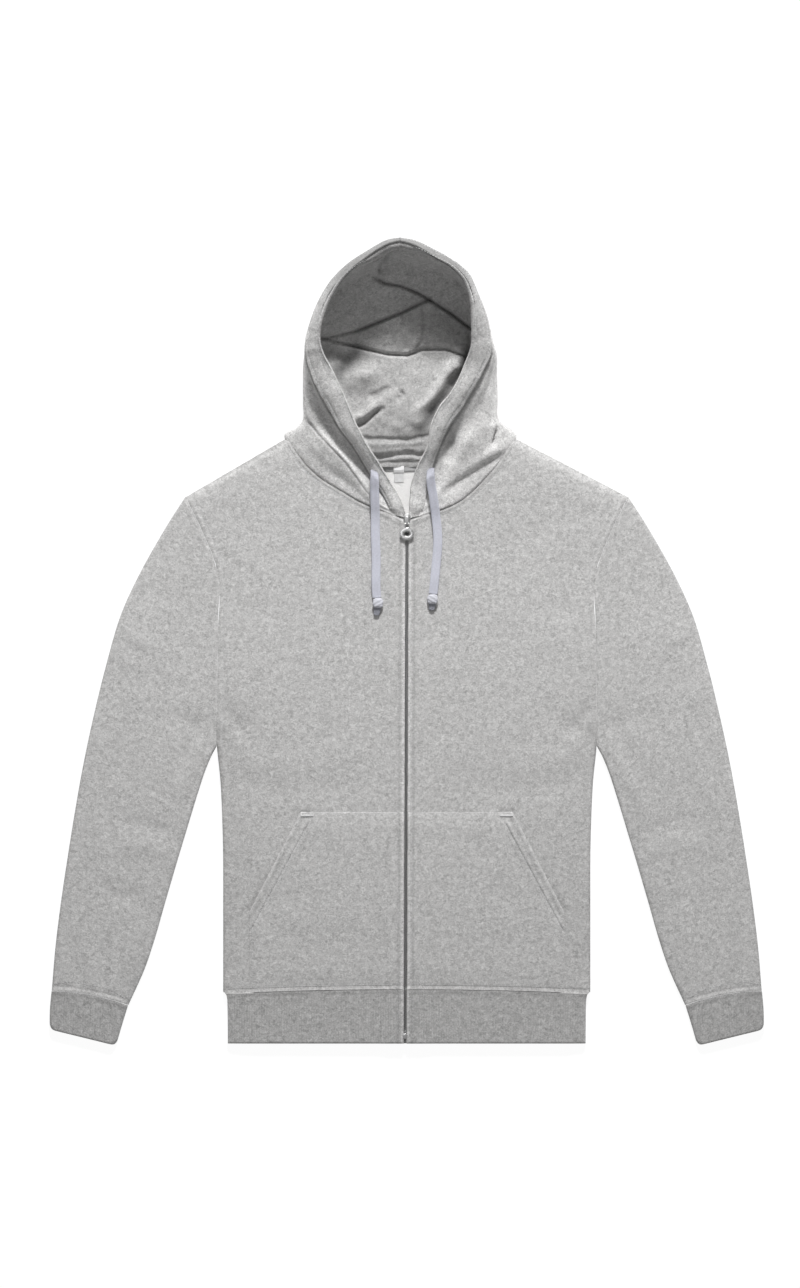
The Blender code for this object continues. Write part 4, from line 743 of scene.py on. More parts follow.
def make_cuffs():
    marks = even_shares(30, 0.7)
    table = read_curve(CUFF, marks * (len(CUFF) - 1))
    down = marks[:, None] * CUFF_TALL
    lip = 1 - dome(CUFF_TALL - down, 2.2)
    t = even_shares(151, 0.35)
    for side, word in SIDES:
        line, place, edge, level, wide = across_sleeve(table, side, t)
        line += level * (5.4 * (1 - dome(CUFF_TALL - down, 7.5)) * (1 - 2 * t))[..., None]
        line += cuff_bow(side, t, np.clip(1 - 2 * marks, 0, 1)[:, None])
        ribs = ribbing(place, edge)
        high = MIDDLE + (2 * WALL + 0.9 - MIDDLE) * dome(edge, 5) + ribs - 1.3 * lip
        high += (0.3 * noise(line[..., 0], line[..., 1], 18, 4) + 0.35 * dip(down + 0.4, 3)
                 + 0.8 * np.exp(-down / 20)) * dome(edge, 8)
        inside = np.minimum(np.maximum(MIDDLE + 0.3 * dome(edge, 5), high - 2.6 + 1.6 * lip), high - 0.05)
        low, low_inside = rib_under(MIDDLE, ribs, edge, dip(down, 2), lip, 0.3)
        # Painted shade: a dark outline along the folded and lower edges and below the seam, and a painted light line
        # at the seam; the cuff's own tone is a little darker overall.
        shade = (0.965 - 0.24 * dip(edge, 1.8) + 0.05 * dip(down, 1.5) - 0.07 * dip(down - 3.6, 1.3)
                 - 0.18 * dip(CUFF_TALL - down, 1.5))
        outer, inner = (all_round(np.dstack([line, above]), np.dstack([line, below]))
                        for above, below in ((high, low), (inside, low_inside)))
        uv = np.dstack(np.broadcast_arrays(all_round(place, 2 * wide - place), down))
        piece = add_cloth("cuff_" + word + "_rib", outer, inner, RIB_CLOTH, uv, wrap=True, shade=all_round(shade))


def make_hem():
    """The hem band, one strip from the zip round the back to the zip."""
    share = even_shares(30, 0.75)[:, None]
    below = share * HEM_TALL
    half = np.interp(share, (0, 0.5, 1), HEM_HALF) + 2 * np.exp(-below / 4)
    middle_y = HEM_SEAM_Y + (HEM_BOTTOM_Y - HEM_SEAM_Y) * share
    centre = zip_x(middle_y)
    lip = 1 - dome(HEM_TALL - below, 2.4)
    seam = dip(below, 2)
    middle = RIB + EDGE_GAP / 2
    strips = []
    for part, start, end, count in ((0, centre - ZIP_LIP, -half, 262), (1, -half, half, 524),
                                    (2, half, centre + ZIP_LIP, 262)):
        x = start + (end - start) * even_shares(count + 1, 0.3)
        edge, place, zip_edge = half - np.abs(x), np.abs(x - start), np.abs(x - centre) - ZIP_LIP
        ribs = ribbing(place, edge)
        if part == 1:
            z, inside = rib_under(middle, ribs, edge, seam, lip, 0.25)
        else:
            gap = puffed(edge / PUFF_REACH) + 1.2 * fall((zip_edge + ZIP_LIP - ZIP_FLAT) / ZIP_SLOPE)
            round_edge = 1.3 * (1 - dome(zip_edge, 1.6))
            z = middle + (2 * RIB + gap - middle) * dome(edge, 5) + ribs * (1 - seam) - 1.3 * lip - round_edge
            z += (0.35 * unevenness(x, middle_y, 21) + 0.45 * dip(below + 0.4, 3.2) - 0.1 * dip(below - 4.6, 1.6)
                  + 1.2 * np.exp(-below / 30)) * dome(edge, 8)
            z -= 0.4 * dip(zip_edge - 9.4, 1.4)
            inside = np.minimum(np.maximum(middle + 0.25, z - 2.6 + 1.6 * lip + round_edge), z - 0.05)
        strips.append(np.dstack([x, z, inside, place + HEM_RUNS[part]])[:, :None if part == 2 else -1])
    x, z, inside, run = np.concatenate(strips, axis=1).transpose(2, 0, 1)
    y = hem_seam_y(x) + (HEM_BOTTOM_Y - hem_seam_y(x)) * share
    # Painted light and shade along the zip and the hem seam, and painted shade along the bottom edge.
    piece = add_layer("hem_band_rib", x, y, z, inside, RIB_CLOTH, uv=np.dstack([run, y]),
                      shade=painted_shading(x, y) - 0.18 * dip(y - HEM_BOTTOM_Y, 1.5))


def pocket_plan(side, rows, columns):
    t = np.linspace(0, 1, rows)
    drop = along([POCKET_CORNER, (POCKET_CORNER[0], POCKET_BOTTOM_Y)], 1 - (1 - t) ** 1.4)
    outline = np.vstack([along(POCKET_SLANT, t), drop[1:]])
    out_x, y = outline[:, :1], outline[:, 1:]
    inner_x = side * zip_x(y) + ZIP_LIP + POCKET_INSET
    x = side * (inner_x + (out_x - inner_x) * even_shares(columns, 0.7))
    y = y + (hem_seam_y(x) + 0.9 - POCKET_BOTTOM_Y) * ease((POCKET_CORNER[1] - y) / 88)
    return x + zip_wave(x, y, side), y


def pocket_edges(x, y, side):
    """Distances in plan from the pocket's top, slanted, side and lower edges."""
    upright = np.abs(side * POCKET_CORNER[0] - x) + 2 * np.maximum(0, y - POCKET_CORNER[1])
    slant = away_from(x, y, mirrored(POCKET_SLANT, side))
    return np.abs(y - POCKET_TOP_Y), slant, upright, np.abs(y - hem_seam_y(x) - 0.9)


def pocket_height(x, y, side):
    """Height of a pocket's upper skin and of the front below it."""
    top, slant, upright, low = pocket_edges(x, y, side)
    base = 2 * WALL + layer_gap(x, y) + 0.25
    base += 0.75 * unevenness(x * side, y, 3 + side) + 0.8 * unevenness(x * side + 40, y, 31 + side)
    sewn_down = away_from(x, y, mirrored(POCKET_STITCH, side))
    height = base + POCKET_THICK - 0.6 - 0.35 * dip(top - 3, 1.4) - 1.2 * dip(top, 13)
    height += 0.9 * dip(slant - 2.8, 2.8) - 0.55 * dip(sewn_down, 1.2) + 0.4 * dip(sewn_down - 2.4, 1.2)
    corner = np.hypot(x - side * POCKET_CORNER[0], y - POCKET_CORNER[1])
    sewn = np.minimum(upright + 30 * ease((y - POCKET_CORNER[1] + 5) / 5), 90)
    height -= 1.6 * np.maximum(fall(sewn / 9), fall(corner / 24)) + fall(low / 26)
    return height + zip_relief(x, y) + seam_roll(x, np.abs(y - hem_seam_y(x))), base


def make_pockets():
    for side, word in SIDES:
        x, y = pocket_plan(side, 60, 84)
        edges = pocket_edges(x, y, side)
        height, base = pocket_height(x, y, side)
        edge = np.min(edges, axis=0) + 1.4 * ease((POCKET_CORNER[1] + 3 - y) / 6)
        zip_edge = from_zip(x, y) - ZIP_LIP - POCKET_INSET
        high = height - 1.6 * (1 - dome(np.minimum(edge, zip_edge), 1.9))
        # Painted shade along the pocket's slanted and top edges, against their highlights.
        piece = add_layer("pocket_" + word + "_cloth", x, y, high, np.minimum(base - 0.6, high - 0.1), FLEECE,
                          uv=np.dstack([x + 300, y + 40]),
                          shade=painted_shading(x, y) - 0.05 * dip(edges[1] - 0.6, 1.4)
                          - 0.24 * dip(edges[0] - 0.6, 1.6) * dome(edges[1], 20))


# Hood


def casing_frame(side):
    """Mouth, outer casing edge and the outward normal between them, all along the rim."""
    mouth, edge = np.split(spline(RIM[side], RIM_COUNT), 2, axis=1)
    normal = unit(np.cross(np.gradient(mouth + edge, axis=0), mouth - edge))
    return mouth, edge, normal * np.where(normal[:, 2:] < 0, -1, 1)


def centre_seam(points, side):
    """Hold points half a thread from the hood's centre seam."""
    over = ((points[..., 0] - HOOD_X) * side < 0) & (points[..., 1] > 190)
    points[..., 0] = np.where(over, HOOD_X, points[..., 0])
    return points


def casing_lines(side):
    """Outer edge, rolled edge, foot of the facing inside, outward normal, level inward direction and turn.

    The turn is how far the casing has turned over: 1 at the crown, where its inside shows.
    """
    mouth, edge, normal = casing_frame(side)
    turn = ease((RIM_PLACES - CROWN_FROM[side]) / CROWN_OVER)[:, None]
    roll = mouth + (edge - mouth) * CROWN_SLIDE * turn * (1, 1, 0)
    level = unit((mouth - edge) * (1, 1, 0))
    foot = roll + turn * (level * FACING_WIDE - (0, 0, FACING_DROP))
    return edge, roll, foot, normal, level, turn


def casing_section(side):
    """The casing's loops: over the top from the edge to the rolled edge, down the facing and back below."""
    edge, roll, foot, normal, level, turn = casing_lines(side)
    wide = np.linalg.norm(roll - edge, axis=1)[:, None]
    inward = (roll - edge) / wide
    up = np.array((0, 0, 1))

    def rim_noise(row, size, seed):
        return noise(RIM_PLACES * RIM_STEP, row, size, seed)[:, None]

    def under(t, depth):
        return edge + (roll - edge) * t - normal * CASING_THICK * depth
    uneven = 0.5 * rim_noise(side * 7, 14, 2)
    ragged = 0.55 * rim_noise(side * 11, 9, 71) + 0.25 * rim_noise(0, 3.5, 72)
    swell = ease((np.arange(RIM_COUNT) + 1) / 7)[:, None] + 0.45 * rim_noise(side * 3, 30, 8)
    sag = 0.8 * rim_noise(40 + side, 24, 19)
    loops = []
    for t in (0, 0.03, 0.07, 0.12, 0.17, 0.22, 0.3, 0.42, 0.55, 0.68, 0.78, 0.84, 0.9, 0.96):
        bulge = swell * 1.5 * (1 - abs(2 * t - 1.05) ** 3) + 0.5 * uneven - 1.2 * (1 - dome(t * wide, 1.8))
        bulge -= 0.9 * dip((t - 0.16) * 17, 1.2) + 0.55 * dip((t - 0.8) * 17, 1.1) * (1 - turn)
        loops.append(edge + (roll - edge) * t + normal * bulge + level * ragged * (1 - turn))
    radius = CASING_THICK / 2
    for bend in np.radians((65, 25, -20, -60)):
        loops.append(roll + inward * (radius * (math.cos(bend) - 0.55) + uneven)
                     + normal * radius * (math.sin(bend) - 0.35))
    for t, t_side, depth in ((0.25, 0.95, 0.5), (0.5, 0.9, 0.6), (0.72, 0.85, 0.7), (0.84, 0.8, 0.75),
                             (0.92, 0.7, 0.8), (1, 0.6, 0.85)):
        rise = 1.2 * math.sin(math.pi * t) + sag - 2.2 * dip((t - 0.84) * 10, 0.9)
        facing = roll + (foot - roll) * t + (level * 1.2 + up * rise) * turn
        loops.append(under(t_side, depth) * (1 - turn) + facing * turn)
    loops.append(under(0.45, 0.9) * (1 - turn) + (foot - up * 3.35) * turn)
    loops += [under(0.3, 0.9), under(0.05, 0.72)]
    grid = np.array(loops).transpose(1, 0, 2)
    near = 1.1 * dip(grid[..., 0] - HOOD_X, 1.5) * (grid[..., 1] > 440)
    grid = grid - (normal * (1 - turn) + up * turn)[:, None] * near[..., None]
    grid[..., 2] -= 2.3 * fall(np.arange(RIM_COUNT) / 9)[:, None]
    return centre_seam(grid, side)


def make_casing():
    station = RIM_PLACES[:, None]
    low_down = fall((station - 8) / 2.5)
    for side, word in SIDES:
        grid = casing_section(side)
        rows, columns = grid.shape[:2]
        column = np.arange(columns)
        # Painted light and shade: the outer face darker towards the crown where the lamp strikes it, the facing darker
        # there, lower down lighter with painted light and shade lines along the roll and edge, the ends by the zip
        # lighter, and painted shade on the left end.
        start, lighter = (10, 0.18) if side == LEFT else (8.5, 0.24)
        high = 0.26 * ease((station - start) / 3) + 0.4 * ease((station - 12.5) / 2.5)
        shade = 1 - high * (column < 17) - 0.2 * ease((station - 13.5) / 2.5) * (column > 17)
        shade += low_down * (lighter - 0.3 * dip(column - 16, 2) + 0.1 * dip(column - 12, 2.5)
                             - 0.16 * dip(column - 3.5, 1.6)) + 0.4 * fall(station / 0.8)
        shade -= (1 - low_down) * (0.1 * ((column > 13) & (column < 18)) + 0.22 * dip(column - 18.5, 1.3))
        if side == LEFT:
            shade -= 0.36 * fall((station - 1.6) / 2) * fall((column - 3) / 4)
        piece = add_piece("hood_casing_" + word + "_cloth", grid.reshape(-1, 3), tube_faces(rows, columns),
                          FLEECE_HOOD, "hood_casing_" + word, uv=grid_uv(grid).reshape(-1, 2), shade=shade)


def hood_rows(side):
    """Dense sections of the hood's outer cloth, from under the casing's edge to the spine."""
    coarse = []
    first_under = NECK_STATIONS - 1
    for k, rim in enumerate(RIM[side][1:]):
        mouth, edge = np.array(rim, float).reshape(2, 3)
        if k < SIDE_STATIONS:
            low = np.array(HOOD_SIDE[side][k], float).reshape(3, 3)
        else:
            inward = unit((mouth - edge)[:2]) * min(1, (k - SIDE_STATIONS + 1) / LEAN_STATIONS)
            low = np.array([[*(edge[:2] + inward * inset), edge[2] * share] for inset, share in WALL_LEAN])
        sink = np.array((0, 0, min(1, 0.2 + 0.4 * k)))
        line = [edge + (mouth - edge) * 0.3 - 3.4 * sink, edge * 0.97 + low[0] * 0.03 - 4.4 * sink,
                low[0], (low[0] + low[1]) / 2, low[1], (low[1] + low[2]) / 2, low[2]]
        if k < first_under:
            line += [low[2] - (0, 0, 5)] * 3
        elif k == first_under:
            x, y, _ = low[2]
            back = (x + HOOD_X) / 2
            line += [(x, y, 0.6), (back, back_neck_y(back, x), 0.3), (HOOD_X, SPINE_Y[0], 0.3)]
        else:
            end, foot = np.array((HOOD_X, SPINE_Y[k - first_under], 0)), low[2] * (1, 1, 0)
            turn = foot + (end - foot) * UNDER_TURN / max(np.linalg.norm(end - foot), UNDER_TURN)
            line += [turn, (turn + end) / 2, end]
        coarse.append(np.array(line) - (k == 0) * np.array((7 * side, 3, 1.4)))
    fine = spline(np.array(coarse).reshape(len(coarse), -1), HOOD_ROWS).reshape(HOOD_ROWS, -1, 3)
    fine[..., 2] = np.maximum(fine[..., 2], 0)
    return fine


def make_hood():
    """The hood's outer cloth with its folds, each half dense from the casing's edge to the spine."""
    places = np.concatenate([np.linspace(0, 1, 5)[:-1], np.linspace(1, 6, 50)[:-1], np.linspace(6, 7, 7)[:-1],
                             np.linspace(7, 9, 12)])
    stations = np.linspace(0, len(RIM[LEFT]) - 2, HOOD_ROWS)[:, None]
    rim, down = np.broadcast_arrays(stations * RIM_STEP, places / 9 * WALL_RUN)
    fade = ease((places - 1.2) / 1.2) * fall((places - 5.6) / 0.9)
    for side, word in SIDES:
        grid = np.array([read_curve(row, places) for row in hood_rows(side)])
        grid[..., 2] = np.maximum(grid[..., 2], 0)
        normal = grid_normals(grid)
        normal *= np.sign((normal * (grid - (HOOD_X, 330, 12))).sum())
        creases = folds(grid[..., 0], grid[..., 1], HOOD_CREASES[side])
        rise = creases * fall((stations - 10.5) / 2)
        for s0, d0, s1, d1, high, half in HOOD_FOLDS:
            line = [(s0 * RIM_STEP, d0 * WALL_RUN), (s1 * RIM_STEP, d1 * WALL_RUN)]
            rise += high * dip(away_from(rim, down, line), half)
        for much, size, seed in ((0.38, 26, 12), (0.12, 10, 13)):
            rise += much * noise(rim, down + side * 50, size, seed)
        grid = grid + normal * (rise * fade)[..., None]
        seam = dip(grid[..., 0] - HOOD_X, 1.8) * (places < 7.5) * (stations > 14)
        grid = grid - normal * (seam * 1.2)[..., None]
        # Painted light and shade: the lower sides lighter, creases darker and ridges lighter, a painted shadow in the
        # trough under the casing and along its edge, the listed painted shade, and the walls darker towards the crown
        # where the lamp strikes them.
        lighter, darker = (0.29, 0.32) if side == LEFT else (0.33, 0.3)
        shade = 1 + lighter * fall((stations - 9) / 3) + 0.06 * np.clip(creases, -4, 0.8)
        shade -= darker * dip(places - 1.9, 1) * ease((stations - 0.6) / 1.2) * fall((stations - 8) / 2.5)
        shade += folds(grid[..., 0], grid[..., 1], HOOD_SHADES[side])
        shade -= 0.5 * dip(places - 1.12, 0.2) * fall((stations - 8.5) / 1.5)
        shade *= 1 - 0.42 * ease((stations - 9.5) / 4)
        grid = centre_seam(grid, side)
        inner = grid - normal * HOOD_WALL
        inner[:, places > 6.9] = grid[:, places > 6.9] + (0, 0, HOOD_WALL)
        inner[..., 2] = np.maximum(inner[..., 2], 0.4)
        piece = add_cloth("hood_" + word + "_cloth", grid, centre_seam(inner, side), FLEECE_HOOD, grid_uv(grid),
                          keep=(stations > NECK_STATIONS - 1 - 1e-6) | (places <= 7), shade=shade)


def lining_creases(x, y):
    """The lining's creases and ridges, none of them quite straight."""
    astray = 2 * noise(x, y, 17, 44) + noise(x, y, 8, 46)
    return folds(x + 1.5 * noise(x, y, 15, 45), y + astray, LINING_LINES)


def lining_height(x, y):
    """Height of the lining's upper skin inside the hood."""
    table = np.array(LINING_FLOOR)
    places = np.interp(y, table[:, 0], np.arange(len(table)))
    height = read_curve(table[:, 1:], places.ravel())[:, 0].reshape(np.shape(y))
    height += LINING_SIDE_RISE * np.clip(np.abs(x - HOOD_X) / LINING_HALF, 0, 1.2) ** 4
    for points, lip, reach in LINING_LIPS:
        away, side = away_from(x, y, points, signed=True)
        behind = away * side
        ends = ease(end_distance(x, y, points) / 12 + 0.35)
        height += lip * ends * ease(behind / 2.4 + 0.5) * np.exp(-np.maximum(behind, 0) / reach)
        height -= 6 * ends * dip(behind + 1.6, 1.9)
    return (height + lining_creases(x, y) + noise(x, y, 28, 41) + 0.7 * noise(x, y, 12, 42)
            + 0.3 * noise(x, y, 6, 43))


def make_lining():
    """The lining, as far as the mouth shows it, its edge tucked up under the casing."""
    loop = np.vstack([casing_lines(RIGHT)[2], casing_lines(LEFT)[2][::-1][1:]])
    plan = loop[:, :2]
    for side, word in SIDES:
        x, y = np.meshgrid(HOOD_X + side * np.arange(0, 106, LINING_STEP), np.arange(203, 474, LINING_STEP),
                           indexing="ij")
        away, rim_z = np.full(x.shape, 1e9), np.zeros(x.shape)
        for px, py, pz in loop:
            near = np.hypot(x - px, y - py)
            rim_z = np.where(near < away, pz, rim_z)
            away = np.minimum(away, near)
        inside = np.zeros(x.shape, bool)
        for (x0, y0), (x1, y1) in zip(plan, np.roll(plan, -1, axis=0)):
            cut = x0 + (y - y0) / (y1 - y0 if y1 != y0 else 1) * (x1 - x0)
            inside ^= ((y0 > y) != (y1 > y)) & (x < cut)
        depth = np.where(inside, away, -away)
        floor, top = lining_height(x, y), rim_z - 3.6
        wall = fall((depth + 3.5) / (5.5 + 12 * ease((y - 400) / 50)))
        height = floor + np.maximum(top - floor, 0) * wall * ease((y - 214) / 26)
        height = np.minimum(height, np.where(depth < 4, top, 1e9))
        outer = np.dstack([x, y, height])
        above = grid_normals(outer)
        inner = outer - above * np.sign(above[..., 2:]) * (0.2, 0.2, 1) * LINING_THICK
        inner[..., 2] = np.maximum(np.minimum(inner[..., 2], height - 0.3), 0.9)
        # Painted shade: the listed painted shade on the lining, its creases darker and ridges lighter.
        shade = 1 + folds(x, y, LINING_SHADES) + 0.05 * np.clip(lining_creases(x, y), -5, 2.5)
        piece = add_cloth("hood_lining_" + word + "_cloth", outer, inner, LINING, np.dstack([x, y]),
                          keep=(depth > -4.6) & (y > 205), shade=shade)


# Trims


def route_frames(route):
    """Level side and upward direction at each point of a route."""
    run = unit(np.gradient(route, axis=0))
    across = unit(np.cross(run, (0, 0, 1)))
    return across, np.cross(across, run)


def flat_section(count, wide, thick, power=0.62):
    """An oval drawn towards a box."""
    c, s = np.cos(turns(count)), np.sin(turns(count))
    return wide / 2 * np.sign(c) * np.abs(c) ** power, thick / 2 * np.sign(s) * np.abs(s) ** power


def sweep(route, across, up, s, u):
    """A section of sideways places s and heights u, carried along a route."""
    return route[:, None] + across[:, None] * s[..., None] + up[:, None] * u[..., None]


def make_cord(side, word):
    """A flat braid with its knot and frayed tail."""
    rows, around = 200, 32
    route = spline(CORDS[side], rows)
    run = run_along(route)[:, None]
    # The top comes out from under the casing, its inner side last
    sunk = fall(run / 10.5)
    route[:, 2:] -= 6.5 * sunk
    across, up = route_frames(route)
    s, u = flat_section(around, CORD_WIDE, CORD_THICK)
    pinch = 0.84 + 0.16 * ease(run / 20)
    reach = s * pinch + 0.22 * np.sin(run / 9 + side)
    braid = np.cos(2 * math.pi * (run / 2.5 - np.abs(s) / 3.6))
    high = u * (1 + 0.16 * braid) * (1.5 - 0.5 * pinch) - np.sign(u) * 0.35 * dip(s, 0.55)
    wave = 0.35 * noise(run, side, 22, 6) - 6.5 * (fall(run / (10.5 + 0.95 * side * s)) - sunk)
    points = sweep(route, across, up, reach * (1 + 0.012 * braid), high + wave).reshape(-1, 3)
    uv = np.dstack(np.broadcast_arrays(s, run)).reshape(-1, 2)
    # Painted shade on the cord's top, where it comes out from under the casing.
    cord = add_piece("drawcord_" + word + "_braid", points, tube_faces(rows, around), CORD, "drawcord_" + word,
                     uv=uv, shade=np.repeat(1 - 0.42 * fall(run / 15), around))
    knot = make_knot(side, word)


def make_knot(side, word):
    """The cord tied round itself: a tight pillow with two crossing turns, and the tail below it."""
    (cx, cy, cz), tail = KNOTS[side]
    rows, around = 40, 44
    lat, lon = np.linspace(-math.pi / 2, math.pi / 2, rows)[:, None], turns(around)

    def power(value, p):
        return np.sign(value) * np.abs(value) ** p
    x = 6.2 * power(np.cos(lat), 0.55) * power(np.cos(lon), 0.7)
    z = 3.1 * power(np.cos(lat), 0.55) * power(np.sin(lon), 0.7)
    y = 5.6 * power(np.sin(lat), 0.75) + 0 * lon
    ridges = 0.34 * np.abs(np.sin((y * 0.86 + side * x * 0.5) * math.pi / 4.1))
    ridges += 0.08 * np.cos(2 * math.pi * (x - y) / 1.5)
    grid = np.dstack([cx + x * (1 + (ridges - 0.25) * 0.16), cy + y, cz + z * (1 + (ridges - 0.2) * 0.5)])
    knot = add_piece("cord_knot_" + word + "_tied", grid.reshape(-1, 3), tube_faces(rows, around), CORD_END,
                     "cord_knot_" + word, uv=np.dstack([x, y]).reshape(-1, 2))
    rows, around = 30, 24
    route = spline(tail, rows)
    across, up = route_frames(route)
    share = np.linspace(0, 1, rows)[:, None]
    s, u = flat_section(around, 1, 3)
    wide = s * (8.6 - 2.6 * share ** 2)
    fray = 0.5 * noise(share * 30, s * 14, 1.3, 17)
    grid = sweep(route, across, up, wide, u * (1 - 0.4 * share) * (1 + 0.15 * fray))
    grid[..., 1] += fray * share ** 3 * 1.6
    uv = np.dstack(np.broadcast_arrays(wide, share * 12)).reshape(-1, 2)
    return [knot, add_piece("cord_tail_" + word + "_frayed", grid.reshape(-1, 3), tube_faces(rows, around),
                            CORD_TAIL, uv=uv)]


class Heap:
    """Small parts gathered into one mesh."""

    def __init__(self):
        self.points, self.faces, self.count = [], [], 0

    def add(self, points, faces):
        points = np.reshape(points, (-1, 3))
        self.points.append(points)
        self.faces += [[corner + self.count for corner in face] for face in outward(points, faces)]
        self.count += len(points)

    def place(self, name, spec, node=None, shade=None, **more):
        points = np.concatenate(self.points)
        shade = shade(points[:, 0], points[:, 1]) if shade else 1.0
        return add_piece(name, points, self.faces, spec, node, shade=shade, **more)

    def plate(self, outline, z0, z1, bevel):
        """Add a plate with rounded edges on a closed outline."""
        outline = np.array(outline, float)
        run = np.roll(outline, -1, 0) - np.roll(outline, 1, 0)
        normal = unit(run[:, ::-1] * (1, -1))
        normal *= np.sign(((outline - outline.mean(axis=0)) * normal).sum())
        loops = []
        for angle, base, sign in ((-90, z0, 1), (-45, z0, 1), (0, z0, 1), (0, z1, -1), (45, z1, -1), (90, z1, -1)):
            turn = math.radians(angle)
            z = base + bevel * (sign + math.sin(turn))
            loops.append([(x, y, z) for x, y in outline - normal * bevel * (1 - math.cos(turn))])
        self.add(loops, tube_faces(len(loops), len(outline)))


def oval(cx, cy, rx, ry, count):
    return np.column_stack([cx + rx * np.cos(turns(count)), cy + ry * np.sin(turns(count))])


def make_zip():
    """Two woven tapes, a row of metal teeth on each and the box with its pin."""
    places = np.array([0.35, 0.8, 1.6, 2.4, 3.4, 6, 9, 13])
    y = np.linspace(CHAIN_BOTTOM_Y - 1, ZIP_TOP_Y, 320)[:, None] + 0 * places
    high = 5.5 - 0.12 * (1 + np.cos(2 * math.pi * y / 1.9)) * (places < 3)
    for side, word in SIDES:
        x = zip_x(y) + side * places
        # Painted shadow under the puller's ring on the tapes.
        add_layer("zip_tape_" + word + "_woven", x, y, high, high - 0.7, TAPE, shade=1 - ring_hole_shadow(x, y))
    heap = Heap()
    sides = [[4 * j + i, 4 * j + (i + 1) % 4, 4 * j + 4 + (i + 1) % 4, 4 * j + 4 + i]
             for j in (0, 1) for i in range(4)]
    for k in range(int((CHAIN_TOP_Y - CHAIN_BOTTOM_Y - 9) / TOOTH_PITCH * 2)):
        side = 1 if k % 2 else -1
        y = CHAIN_BOTTOM_Y + 8 + k * TOOTH_PITCH / 2
        x = zip_x(y)
        rows = []
        for z, grow, half in ((5.9, 0, 0.52), (8.1, 0, 0.52), (8.75, 0.3, 0.34)):
            root, head = x + side * (1.75 - grow), x - side * (0.7 - grow)
            rows += [(root, y - half, z), (head, y - half * 0.8, z), (head, y + half * 0.8, z), (root, y + half, z)]
        heap.add(rows, [[0, 1, 2, 3], [8, 9, 10, 11]] + sides)
    # Painted shadow on the teeth under the puller's ring and just below it.
    heap.place("zip_teeth", CHAIN, "zip_chain", smooth=False,
               shade=lambda x, y: 1 - 1.2 * ring_hole_shadow(x, y) - 0.35 * dip(y - 117, 4))
    heap = Heap()
    y = CHAIN_BOTTOM_Y + 3.5
    box = oval(0, y, 3, 3.5, 20)
    box[:, 0] = zip_x(y) + box[:, 0] * (0.75 + 0.25 * np.abs(box[:, 0] / 3))
    heap.plate(box, 5.8, 9.3, 0.7)
    heap.plate(oval(zip_x(y), y + 5, 0.8, 1.6, 12), 6, 8.9, 0.4)
    heap.place("zip_box_cast", METAL, "zip_box")


def make_slider():
    """Two plates on a post, the bridge over them and two low ribs."""
    heap = Heap()
    half = np.array([(2.5, 136.3), (3.1, 138.2), (3.6, 141), (4.2, 145.2), (4.1, 147.4), (3.4, 149.2), (2.2, 150.2)])
    for z0, z1, grow in ((9.3, 10.7, 0), (3.1, 4.4, -0.1)):
        outline = np.vstack([half + (grow, 0), half[::-1] * (-1, 1) - (grow, 0)])
        outline[:, 0] += zip_x(outline[:, 1])
        heap.plate(outline, z0, z1, 0.45)
    heap.plate(oval(zip_x(147.4), 147.4, 1.2, 1.8, 14), 4.2, 9.5, 0.2)
    # The bridge: a flat bar bent up from one end of the plate and down to the other
    route = spline([(0.3, 137.4, 10.2), (0.3, 137.1, 11.6), (0.3, 137.6, 13), (0.3, 139.2, 13.45), (0.3, 142.4, 13.5),
                    (0.3, 145.6, 13.3), (0.3, 147.4, 12.6), (0.3, 148, 11.4), (0.3, 148, 10.2)], 40)
    across = np.array([(1, 0, 0)])
    up = np.cross(unit(np.gradient(route, axis=0)), across)
    heap.add(sweep(route, across, up, *flat_section(16, 2.6, 1.2, 0.6)), tube_faces(40, 16))
    for side in (LEFT, RIGHT):
        heap.plate(oval(zip_x(143) + side * 3, 143.2, 0.5, 4.6, 14), 10.5, 11.1, 0.25)
    heap.place("slider_body", SLIDER, "slider")


def make_pull_tab():
    """A flat ring with a small oval hole, two arms and the bar they turn on."""
    px, py, pz = PIVOT
    heap = Heap()
    rows, around, section = 20, 64, 16
    outer, hole = (oval(px, TAB_CENTRE_Y, *radii, around) for radii in (TAB_RADIUS, TAB_HOLE))
    loops = []
    for turn in turns(rows):
        c, d = math.cos(turn), math.sin(turn)
        share = 0.5 + 0.5 * math.copysign(abs(c) ** 0.75, c)
        z = pz + TAB_THICK / 2 * math.copysign(abs(d) ** 0.8, d)
        loops.append([(x, y, z) for x, y in outer + (hole - outer) * share])
    # One row more joins the last loop to the first
    heap.add(loops, (quads(rows + 1, around, wrap=True) % (rows * around)).tolist())
    for side in (LEFT, RIGHT):
        route = spline([(px + side * 2.4, 132.8, pz), (px + side * 2.4, 135.6, pz), (px + side * 2.3, 138, pz),
                        (px + side * 2.1, py, pz)], 24)
        heap.add(sweep(route, *route_frames(route), *flat_section(section, 1.5, TAB_THICK, 0.6)),
                 tube_faces(24, section))
    bar = [[(px + x, y, z) for y, z in oval(py, pz, 0.72, 0.72, section)] for x in (-2.7, -2.4, 0, 2.4, 2.7)]
    heap.add(bar, tube_faces(5, section))
    heap.place("pull_tab_ring", METAL, "pull_tab", body="pull_tab")


